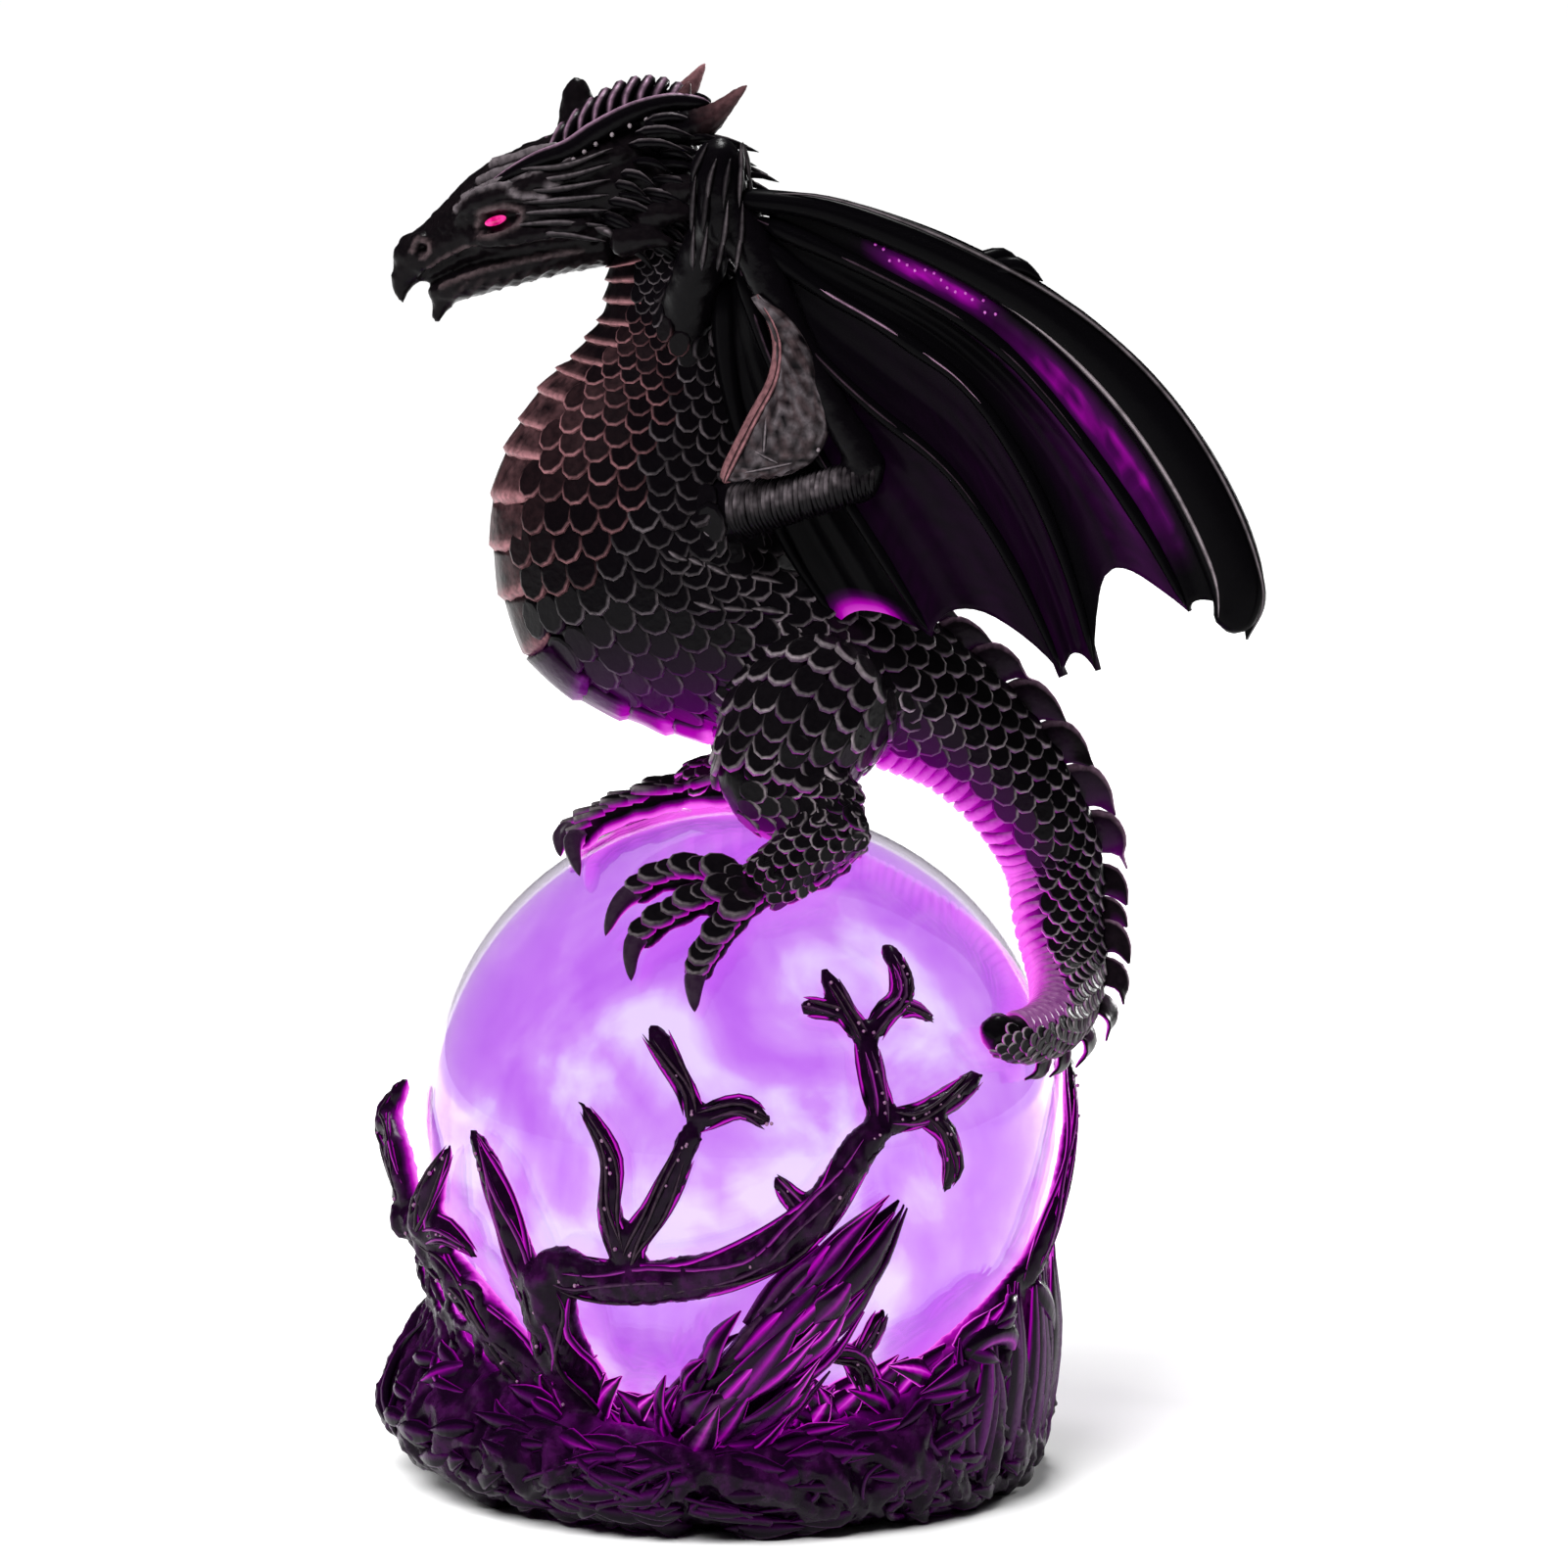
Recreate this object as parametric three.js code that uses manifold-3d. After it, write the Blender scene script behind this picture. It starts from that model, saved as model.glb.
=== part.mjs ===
// A dragon perched on a glowing glass globe, in a cast base of roots and branches.
// Millimetres, +Z up. The origin is the middle of the flat underside, straight below the globe.
// The dragon looks along -X, and its left side faces -Y.
import * as THREE from "three";
import { mergeVertices } from "three/addons/utils/BufferGeometryUtils.js";
import Module from "manifold-3d";

const wasm = await Module();
wasm.setup();

// Driving dimensions
const globeDiameter = 90;
const globeLift = 3.4; // thickness of the floor under the globe
const seatGap = 0.35; // between the glass and what hugs it
const bowRoom = 0.2; // extra under branches and toes, whose straight facets dip towards the glass
const flatness = 0.78; // height of a branch or toe over its width
const beltHeight = 10; // height of the base's widest line
const beltRadius = 45.2; // the base's widest line, from its axis
const beltShift = 4.3; // how much wider the base is on the left than on the right
const frontRim = 13;
const rightRim = 33;
const backRim = 24;
const leftRim = 25;
const fluteDepth = 1; // root folds round the base's side
const fluteCount = 12;
const foldShares = [0.4, 0.8, 0.7, 0.9, 1, 1, 0.7, 0.5]; // of that depth, round the base from the front
const trunkRadius = 3.9;
const limbRadius = 2.7;
const twigRadius = 1.35;
const figureHeight = 102; // from the globe's top to the horn tips
const toeRadius = 2.2;
const tailEndRadius = 3.4;
const membraneThickness = 1.5;
const wingSpread = 0.34; // outward travel of a wing for each millimetre towards its tip
const farWingDrop = 2.2; // the right wing is held a little lower
const spikeCount = 15;
const spikeHeight = 4.2;
const spikeThickness = 1.3;
const bellyPlateCount = 15;
const plateLift = 1.4;
const bellySpan = [0.07, 0.42]; // of the trunk's length
const tailRingCount = 13;
const crestBandCount = 5;
const cheekSpikeCount = 3;

// Worked out from those
const globeRadius = globeDiameter / 2;
const globeCentre = new THREE.Vector3(0, 0, globeLift + globeRadius);
const globeTop = globeLift + globeDiameter;
const layoutHeight = 102; // the figure's points below are laid out at this height
const unit = figureHeight / layoutHeight;
const sideways = new THREE.Vector3(0, 1, 0);
const degree = Math.PI / 180;
const endBlunting = 0.05; // share of a limb in its end cap

// A point of the figure: x and y from the globe's axis, z above the globe's top
const at = (x, y, z) => new THREE.Vector3(x * unit, y * unit, globeTop + z * unit);

// The direction from the globe's centre at an azimuth (0 is the front, 90 the right) and an elevation
function direction(azimuth, elevation) {
  const a = azimuth * degree;
  const e = elevation * degree;
  return new THREE.Vector3(Math.sin(a) * Math.cos(e), -Math.cos(a) * Math.cos(e), Math.sin(e));
}

// A point just off the globe
const onGlobe = (azimuth, elevation, lift) =>
  direction(azimuth, elevation).multiplyScalar(globeRadius + lift).add(globeCentre);

const fromGlobe = (p) => p.clone().sub(globeCentre);
const alongY = () => sideways.clone();

// A closed geometry as a solid, with its faces turned outwards
function solid(geometry) {
  const bare = geometry.index ? geometry.toNonIndexed() : geometry.clone();
  bare.deleteAttribute("normal");
  bare.deleteAttribute("uv");
  const merged = mergeVertices(bare, 1e-4);
  const corners = [];
  const index = merged.index.array;
  for (let i = 0; i < index.length; i += 3) {
    const [a, b, c] = [index[i], index[i + 1], index[i + 2]];
    if (a !== b && b !== c && c !== a) corners.push(a, b, c);
  }
  const vertProperties = merged.attributes.position.array;
  const make = (triVerts) =>
    new wasm.Manifold(new wasm.Mesh({ numProp: 3, vertProperties, triVerts }));
  const made = make(Uint32Array.from(corners));
  if (made.volume() > 0) return made;
  return make(Uint32Array.from(corners).reverse());
}

const unite = (solids) => solids.reduce((whole, piece) => whole.add(piece));

// Steps smoothly from 0 to 1
const ease = (x) => THREE.MathUtils.smoothstep(x, 0, 1);

// The value at t along a list of numbers spread evenly from 0 to 1
function along(list, t) {
  const place = THREE.MathUtils.clamp(t, 0, 1) * (list.length - 1);
  const i = Math.min(Math.floor(place), list.length - 2);
  return THREE.MathUtils.lerp(list[i], list[i + 1], place - i);
}

// A limb through points, round-ended: widths lie across facing(p), heights along it.
// Its rings lie at the given shares of its length, and swell(ring, turn) adds to a ring's size.
function limb(points, widths, options = {}) {
  const { heights = widths, sides = 6, facing = alongY, swell } = options;
  const { shares = points.map((_, i) => i) } = options;
  const last = shares[shares.length - 1];
  const rings = shares.length + 1;
  const curve = new THREE.CatmullRomCurve3(points, false, "centripetal");
  const geometry = new THREE.SphereGeometry(1, sides, rings);
  const place = geometry.attributes.position;
  const uv = geometry.attributes.uv;
  for (let i = 0; i < place.count; i++) {
    const ring = Math.round((1 - uv.getY(i)) * rings);
    const inside = THREE.MathUtils.clamp(ring - 1, 0, shares.length - 1);
    const share = THREE.MathUtils.clamp(shares[inside] / last, endBlunting, 1 - endBlunting);
    const t = ring % rings ? share : ring / rings;
    const turn = Math.round(uv.getX(i) * sides) * ((2 * Math.PI) / sides);
    const pole = Math.abs(place.getX(i)) + Math.abs(place.getZ(i)) < 1e-6;
    const centre = curve.getPoint(t);
    const tangent = curve.getTangent(THREE.MathUtils.clamp(t, 0.001, 0.999));
    const ref = facing(centre);
    const high = ref.addScaledVector(tangent, -ref.dot(tangent)).normalize();
    const wide = tangent.clone().cross(high);
    const more = swell ? swell(inside, turn) : 0;
    const size = pole ? 0 : 1;
    centre.addScaledVector(wide, Math.cos(turn) * (along(widths, t) + more) * size);
    centre.addScaledVector(high, Math.sin(turn) * (along(heights, t) + more) * size);
    place.setXYZ(i, centre.x, centre.y, centre.z);
  }
  return solid(geometry);
}

// A limb that lies on the globe: path holds [azimuth, elevation] or [azimuth, elevation, lift]
function creeper(path, radii, options = {}) {
  const last = path.length - 1;
  const heights = radii.map((r) => flatness * r);
  const points = path.map(([azimuth, elevation, lift], i) =>
    onGlobe(azimuth, elevation, lift ?? seatGap + bowRoom + along(heights, i / last)),
  );
  return limb(points, radii, { heights, facing: fromGlobe, sides: 5, ...options });
}

// A box bent into shape: spot(u, v, w) with u and v from 0 to 1 and w at -0.5 and 0.5
function slab(spot, across, down) {
  const geometry = new THREE.BoxGeometry(1, 1, 1, across, down, 1);
  const place = geometry.attributes.position;
  for (let i = 0; i < place.count; i++) {
    const p = spot(place.getX(i) + 0.5, place.getY(i) + 0.5, place.getZ(i));
    place.setXYZ(i, p.x, p.y, p.z);
  }
  return solid(geometry);
}

// A sheet bent over surface(u, v), with each of its two faces half of thickness(u) away
function sheet(surface, thickness, across, down) {
  const step = 1e-3;
  const spot = (u, v, w) => {
    const du = surface(Math.min(u + step, 1), v).sub(surface(Math.max(u - step, 0), v));
    const dv = surface(u, Math.min(v + step, 1)).sub(surface(u, Math.max(v - step, 0)));
    return surface(u, v).addScaledVector(du.cross(dv).normalize(), thickness(u) * w);
  };
  return slab(spot, across, down);
}

const globeShape = (radius) => {
  const sphere = new THREE.SphereGeometry(radius, 24, 12);
  sphere.rotateX(Math.PI / 2);
  sphere.translate(globeCentre.x, globeCentre.y, globeCentre.z);
  return sphere;
};
const globeRoom = solid(globeShape(globeRadius + seatGap));

// The dragon's trunk: centre line from the nape to the tail's tip, with half height and half width
const trunkLine = [
  { p: at(-12.5, 0, 84), high: 7.5, wide: 6 },
  { p: at(-9.4, 0, 76.5), high: 8.8, wide: 7.5 },
  { p: at(-9.2, 0, 67.5), high: 9.4, wide: 8.6 },
  { p: at(-10.6, 0, 58.8), high: 13, wide: 10.8 },
  { p: at(-13, 0, 50.6), high: 17, wide: 13.6 },
  { p: at(-14.2, 0, 41.6), high: 20.2, wide: 15.8 },
  { p: at(-11.8, 0, 33), high: 21, wide: 16.6 },
  { p: at(-4.6, -0.5, 26.6), high: 16.2, wide: 15.4 },
  { p: at(4, -1, 23.4), high: 13.6, wide: 13.8 },
  { p: at(13.5, -1, 19.8), high: 12.2, wide: 12.4 },
  { p: at(22.5, -0.5, 15.4), high: 10, wide: 10.2 },
  { p: at(30.8, 0, 10), high: 8.3, wide: 8.2 },
  { p: at(38.2, 0, 1.8), high: 7.1, wide: 7 },
  { p: at(43, 1, -7.8), high: 6.3, wide: 6.2 },
];
// Then the tail runs round the globe's right side to the front
const tailPath = [
  [87, 34, 7.8],
  [81, 26.5, 5.6],
  [72, 22, 4.4],
  [63, 20.5, 3.6],
  [54, 21, 3.1],
  [47.5, 24, 2.5],
];
const tailShares = [1.68, 1.45, 1.2, 1.05, 0.92, 0.66];
const trunkPoints = [
  ...trunkLine.map((s) => s.p),
  ...tailPath.map(([azimuth, elevation, lift]) => onGlobe(azimuth, elevation, lift)),
];
const tailRadii = tailShares.map((share) => share * tailEndRadius);
const trunkHeights = [...trunkLine.map((s) => s.high * unit), ...tailRadii];
const trunkWidths = [...trunkLine.map((s) => s.wide * unit), ...tailRadii];
const trunkCurve = new THREE.CatmullRomCurve3(trunkPoints, false, "centripetal");

// A spot on the trunk's surface: t along it, and an angle round it, 0 on the back and 180 on the belly
function onTrunk(t, angle, lift) {
  const centre = trunkCurve.getPoint(t);
  const tangent = trunkCurve.getTangent(t);
  const side = sideways.clone().addScaledVector(tangent, -sideways.dot(tangent)).normalize();
  const back = tangent.clone().cross(side).normalize();
  const a = angle * degree;
  centre.addScaledVector(back, Math.cos(a) * (along(trunkHeights, t) + lift));
  return centre.addScaledVector(side, Math.sin(a) * (along(trunkWidths, t) + lift));
}

// The trunk, with a strip of plates down its throat, chest and belly, each lapping the next
function body() {
  const shares = [0, 0.03];
  const lifts = [0, 0];
  for (let k = 0; k < bellyPlateCount; k++) {
    const start = THREE.MathUtils.lerp(bellySpan[0], bellySpan[1], k / bellyPlateCount);
    const end = THREE.MathUtils.lerp(bellySpan[0], bellySpan[1], (k + 1) / bellyPlateCount);
    shares.push(start + 0.0015, end - 0.0015);
    lifts.push(0, plateLift * unit);
  }
  for (let k = 1; k <= tailRingCount; k++) {
    shares.push(THREE.MathUtils.lerp(bellySpan[1], 1, k / tailRingCount));
    lifts.push(0);
  }
  const swell = (ring, turn) => lifts[ring] * ease(-1.8 * Math.cos(turn) - 0.5);
  return limb(trunkPoints, trunkHeights, { heights: trunkWidths, sides: 10, shares, swell });
}

// A saw-toothed fin down the back of the rump and the tail
function dorsalFin() {
  const first = 0.455;
  const last = 0.875;
  const rows = 2 * spikeCount;
  const spot = (u, v, w) => {
    const row = Math.round(v * rows);
    const tooth = row % 2 ? 1 : 0.3;
    const tall = spikeHeight * Math.sin(Math.PI * (0.12 + 0.76 * v)) * tooth;
    const t = THREE.MathUtils.lerp(first, last, v + (row % 2 ? 0.012 : 0));
    const foot = along(trunkHeights, t) > 3 * tailEndRadius ? 2 : 1;
    const angle = (w * spikeThickness * (u ? 0.5 : 1.6)) / along(trunkWidths, t) / degree;
    return onTrunk(t, angle, u ? tall : -foot);
  };
  return slab(spot, 1, rows);
}

// A horn, spine or claw through figure points
const horn = (points, radii, sides = 5) =>
  limb(
    points.map((p) => at(...p)),
    radii.map((r) => r * unit),
    { sides },
  );

function head() {
  const skull = limb(
    [
      at(-5, 0, 87),
      at(-10, 0, 87),
      at(-18, 0, 85.8),
      at(-25.5, 0, 83.8),
      at(-33, 0, 81.7),
      at(-38.5, 0, 79.2),
      at(-42, 0, 76.8),
      at(-45.4, 0, 75.2),
      at(-47.4, 0, 73.6),
    ],
    [5, 8.6, 9, 8.5, 7.1, 4.7, 3.7, 3.9, 1.8].map((r) => r * unit),
    { heights: [5, 7.4, 8.7, 8.6, 7.1, 4.8, 3.5, 3, 1.5].map((r) => r * unit), sides: 10 },
  );
  const jaw = limb(
    [at(-17, 0, 79.5), at(-26, 0, 76.7), at(-34, 0, 73.8), at(-40, 0, 71.6), at(-43, 0, 70.6)],
    [4.6, 3.4, 2.5, 2, 1.1].map((r) => r * unit),
    { heights: [6.4, 5.8, 4.3, 3, 1.6].map((r) => r * unit), sides: 7 },
  );
  const beakHook = horn([[-44.6, 0, 74.6], [-46.2, 0, 72.2], [-46.7, 0, 69.4]], [2.2, 1.6, 0.4]);
  const chinSpike = horn([[-40.6, 0, 71], [-42.2, 0, 66.8]], [2, 0.3]);
  const pieces = [skull, jaw, beakHook, chinSpike];
  for (const side of [-1, 1]) {
    const brow = [[-38.5, 3.6, 80.6], [-32, 6.8, 84.6], [-20, 7.8, 89.6], [-8, 6.8, 95]];
    pieces.push(horn(brow.map(([x, y, z]) => [x, side * y, z]), [1, 1.5, 1.6, 1.4]));
    pieces.push(horn([[-36, side * 5, 80.5], [-31, side * 6.9, 80.6]], [1.7, 1.3]));
    for (let k = 0; k < cheekSpikeCount; k++) {
      const low = [-18 + 3.4 * k, side * (7 - 0.3 * k), 78 + 3.4 * k];
      const tip = [low[0] + 9.4, side * (9.6 - 0.4 * k), low[2] + 0.3 * k];
      pieces.push(horn([low, tip], [2.8, 0.4]));
    }
  }
  // Horns: a blunt one over the brow, and a long pair at the back of the skull
  pieces.push(horn([[-22.4, 2.5, 90], [-22.6, 3, 96], [-22.8, 3, 100.2]], [3.4, 2.4, 1.2], 6));
  pieces.push(horn([[-12, -5.6, 93], [-4.4, -7, 95.6], [0.6, -8, 99.4]], [3, 2.2, 0.4], 6));
  pieces.push(horn([[-14, 5, 94], [-8.4, 5.8, 98], [-5.3, 6.2, 101.7]], [3, 2.1, 0.4], 6));
  pieces.push(crest());
  for (const [x, z] of [[-35.4, 88.9], [-30.4, 91.9]]) {
    pieces.push(horn([[x + 1.4, 0, z - 4.4], [x, 0, z]], [2, 0.7]));
  }
  return pieces;
}

// The banded crest over the skull, between the horns
function crest() {
  const rows = 2 * crestBandCount;
  const spot = (u, v, w) => {
    const row = Math.round(v * rows);
    const x = THREE.MathUtils.lerp(-26.6, -8.6, v);
    const y = (u - 0.5) * 10;
    const ridge = 90.6 + 8.4 * Math.sin(2.05 * v) + (row % 2 ? 1.2 : -0.6);
    const top = ridge - 0.12 * y * y;
    return at(x, y * (w > 0 ? 1 : 0.8), w > 0 ? top : Math.min(top - 1, 86));
  };
  return slab(spot, 2, rows);
}

// One leg down to its foot: joints are hip, knee, shin and hock, then the sole on the globe
function leg(joints, radii, sole) {
  const hock = at(...joints[3]);
  const ankle = hock.clone().lerp(onGlobe(...sole, 4), 0.5);
  return [
    horn(joints.slice(0, 3), radii.slice(0, 3), 8),
    horn(joints.slice(1), radii.slice(1), 7),
    limb([hock, ankle, onGlobe(...sole, 2.4)], [2, 1.65, 1.6].map((share) => share * toeRadius), {
      sides: 6,
      facing: fromGlobe,
    }),
  ];
}

const toeShape = [1.2, 1, 0.95, 1.1, 0.2];
const toe = (path) =>
  creeper(
    path,
    toeShape.map((share) => share * toeRadius),
  );

function leftLeg() {
  const joints = [[14, -7, 19.6], [6.6, -15.5, 11.8], [3.4, -19.6, 5.8], [16.2, -22.4, 2.2]];
  return [
    ...leg(joints, [11, 10.2, 6.4, 4.4], [2, 52]),
    toe([[3, 53], [-10, 56.2], [-21, 55.6], [-29, 51], [-33, 43]]),
    toe([[3, 52], [-8, 51], [-16, 47.6], [-23, 42], [-23, 35]]),
    toe([[4, 52], [-3, 46], [-7, 40.5], [-9, 36], [-9, 30]]),
    toe([[3, 52], [14, 53.5], [25, 56.5], [35, 59.5], [44, 60.5]]),
  ];
}

function rightLeg() {
  const joints = [[12, 6, 18], [5, 11.5, 11], [1, 13.5, 6.6], [11.6, 11.4, 4.4]];
  return [
    ...leg(joints, [10.4, 8.6, 6, 3.9], [-98, 78]),
    toe([[-98, 80], [-115, 73], [-108, 65.5], [-98, 59.5], [-82, 56.5]]),
    toe([[-92, 80], [-87, 73], [-88, 66.5], [-76, 60.5], [-56, 54.5]]),
    toe([[-105, 80], [-138, 71], [-142, 65], [-139, 59], [-128, 54]]),
    toe([[-98, 80], [-60, 86], [70, 82], [83, 76], [86, 69]]),
  ];
}

// A wing, drawn in side view as [x, z] from the wrist out: its leading edge, then each finger
const fingerPaths = [
  [
    [-2.4, 85.2],
    [9.5, 85.4],
    [21, 82.3],
    [33, 77.2],
    [44.5, 70.6],
    [55, 61.2],
    [62.8, 50],
    [67.6, 39],
    [68.6, 32.6],
    [66.4, 27.8],
  ],
  [[-0.6, 83], [17, 75.4], [33, 66.6], [45, 53.6], [54, 40.6], [59, 31.2]],
  [[-0.2, 81], [9.5, 73.4], [18.3, 68.4], [24.4, 64.4], [30.1, 60], [38, 48.6], [43.5, 35.6], [47, 22.8]],
  [[-0.6, 79], [8, 66], [18, 56.6], [27, 49.4], [34, 40], [39, 30.6], [42.8, 22]],
  [[-1, 77.4], [4, 62.6], [11, 49.2], [19, 36.6], [25.4, 26.4]],
  [[-2.5, 76], [-2, 61.6], [1, 49.2], [6, 37.6], [13, 26.6]],
];
const rootDepths = [16, 16, 16, 16, 15, 11]; // how far out each finger starts
const scallops = [0.07, 0.14, 0.035, 0.13, 0.06]; // how deep each panel's free edge is cut
const panelHollow = 1.7;
const wingRows = 6; // lengthwise
// Columns across a wing: panel, share of its width, thickness as a share of the membrane's
const wingColumns = [
  [0, 0, 0.6],
  [0, 0.2, 3],
  [0, 0.45, 3],
  [0, 0.62, 1],
  [1, 0, 2.3],
  [1, 0.25, 1],
  [1, 0.6, 1],
  [2, 0, 2.3],
  [2, 0.25, 1],
  [2, 0.7, 1],
  [3, 0, 2.3],
  [3, 0.3, 1],
  [3, 0.7, 1],
  [4, 0, 2.3],
  [4, 0.3, 1],
  [4, 1, 1],
];

function wing(side) {
  const drop = side > 0 ? farWingDrop : 0;
  const spot = ([x, z], i) =>
    at(x, side * (rootDepths[i] + (i < 5 ? wingSpread : 0.1) * (x + 2)), z - drop);
  const fingers = fingerPaths.map((path, i) => new THREE.CatmullRomCurve3(path.map((p) => spot(p, i))));
  const start = 0.05;
  const last = wingColumns.length - 1;
  const membrane = (u, v) => {
    const column = Math.min(Math.floor(u * last), last - 1);
    const [i, share] = wingColumns[column];
    const next = wingColumns[column + 1][0] > i ? 1 : wingColumns[column + 1][1];
    const here = THREE.MathUtils.lerp(share, next, u * last - column);
    const belly = Math.sin(Math.PI * here);
    const t = start + v * (1 - start - scallops[i] * Math.pow(belly, 0.8));
    const p = fingers[i].getPoint(t).lerp(fingers[i + 1].getPoint(t), here);
    const hollow = i === 0 ? 0 : panelHollow * belly * ease(2 * t);
    return p.addScaledVector(sideways, -side * hollow * unit);
  };
  const thickness = (u) => membraneThickness * wingColumns[Math.round(u * last)][2];
  const pieces = [sheet(membrane, thickness, last, wingRows)];
  const spar = (points, radii, sides) =>
    horn(points.map(([x, y, z]) => [x, side * y, z - drop]), radii, sides);
  // Arm from the shoulder back to the elbow, up to the wrist with its thumb, and the shoulder's web
  pieces.push(spar([[-6, 9, 40.5], [5, 16.6, 43.8], [18.6, 21.5, 47.6]], [5, 3.3, 2.8]));
  pieces.push(spar([[18.4, 21.5, 46.6], [9.4, 19.8, 62], [-1.6, 16.4, 84]], [2.8, 2.4, 3.6]));
  pieces.push(spar([[-2, 16.2, 77], [-3.2, 16, 88], [-2.6, 15.6, 92.8]], [4.6, 4.2, 1.8], 7));
  pieces.push(spar([[-9, 4, 62], [-6, 11, 74], [-3, 15.6, 83]], [5, 3.8, 3]));
  pieces.push(spar([[33, 28, 75], [36.4, 29.4, 76], [39.2, 30, 74.6]], [1.8, 1.3, 0.4]));
  // Leaf-shaped fold of skin in front of the elbow, with a rib down its edge
  const fold = (list, out) =>
    new THREE.CatmullRomCurve3(list.map(([x, z]) => at(x, side * out, z - drop)));
  const ribCurve = fold([[3.4, 71.8], [4.8, 62.4], [2, 55.4], [-2, 46]], 19.4);
  const edgeCurve = fold([[5, 71.8], [9.8, 64.4], [12, 54.6], [4, 46]], 20.6);
  const rib = (u) => membraneThickness * (u < 0.1 ? 2 : 1);
  pieces.push(sheet((u, v) => ribCurve.getPoint(v).lerp(edgeCurve.getPoint(v), u), rib, 2, 4));
  return pieces;
}

function dragon() {
  const pieces = [
    body(),
    dorsalFin(),
    ...head(),
    ...leftLeg(),
    ...rightLeg(),
    ...wing(-1),
    ...wing(1),
  ];
  return unite(pieces).subtract(globeRoom);
}

// A value round the base from an evenly spread list that starts at the front and goes right
const around = (list, azimuth) => along([...list, list[0]], (((azimuth % 360) + 360) % 360) / 360);
const middleRim = (frontRim + rightRim) / 2;
const rimHeights = [
  frontRim,
  frontRim + 3,
  rightRim,
  rightRim - 2,
  middleRim + 3,
  backRim,
  backRim,
  backRim,
  leftRim,
  leftRim,
  middleRim - 3,
  frontRim + 1,
];
// From the glass to the base's outside, at the rim
const rimWalls = [11, 8, 1.6, 0.9, 2.4, 2.6, 3, 3, 3.4, 4.6, 6, 9];
const footInsets = [10, 11.5, 12.5, 12.5, 11, 10, 10, 10, 11.5, 13, 13, 11];

// The cup: turned, then raised to its rim, shifted to the left and folded into roots
function cup() {
  const [footRow, heelRow, swellRow, beltRow, wallRow, rimRow, ledgeRow, topRow] = [0, 1, 2, 3, 4, 5, 6, 7];
  const profile = [0, footRow, heelRow, swellRow, beltRow, wallRow, rimRow, ledgeRow, topRow].map(
    (row, i) => new THREE.Vector2(i === 0 || row === topRow ? 0 : 1, i === 0 ? 0 : row + 1),
  );
  const geometry = new THREE.LatheGeometry(profile, 3 * fluteCount);
  geometry.rotateX(Math.PI / 2);
  const place = geometry.attributes.position;
  for (let i = 0; i < place.count; i++) {
    const x = place.getX(i);
    const y = place.getY(i);
    const row = Math.round(place.getZ(i)) - 1;
    if (Math.hypot(x, y) < 0.5) {
      place.setXYZ(i, 0, 0, row === topRow ? globeLift + 0.3 * globeRadius : 0);
      continue;
    }
    const azimuth = Math.atan2(x, -y) / degree;
    const rim = around(rimHeights, azimuth);
    const glass = Math.sqrt(Math.max(globeRadius ** 2 - (globeCentre.z - rim) ** 2, 0));
    const rimRadius = glass + around(rimWalls, azimuth);
    const inset = around(footInsets, azimuth);
    const foot = beltRadius - inset;
    const [height, plain, lean] = {
      [footRow]: [0, foot, -0.5],
      [heelRow]: [0.18 * beltHeight, foot + 0.55 * inset, 0],
      [swellRow]: [0.5 * beltHeight, foot + 0.86 * inset, 0.6],
      [beltRow]: [beltHeight, beltRadius, 1],
      [wallRow]: [(beltHeight + rim) / 2, (beltRadius + rimRadius) / 2 + 0.4, 0.5],
      [rimRow]: [rim, rimRadius, 0],
      [ledgeRow]: [rim + 1.5, Math.min(rimRadius - 1, glass - 1), 0],
    }[row];
    const fold = around(foldShares, azimuth) * fluteDepth * Math.cos(fluteCount * azimuth * degree);
    const folded = row === footRow || row === ledgeRow ? 0 : fold;
    const radius = plain + folded - lean * beltShift * Math.sin(azimuth * degree);
    place.setXYZ(i, radius * x, radius * y, height);
  }
  return solid(geometry);
}

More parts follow.
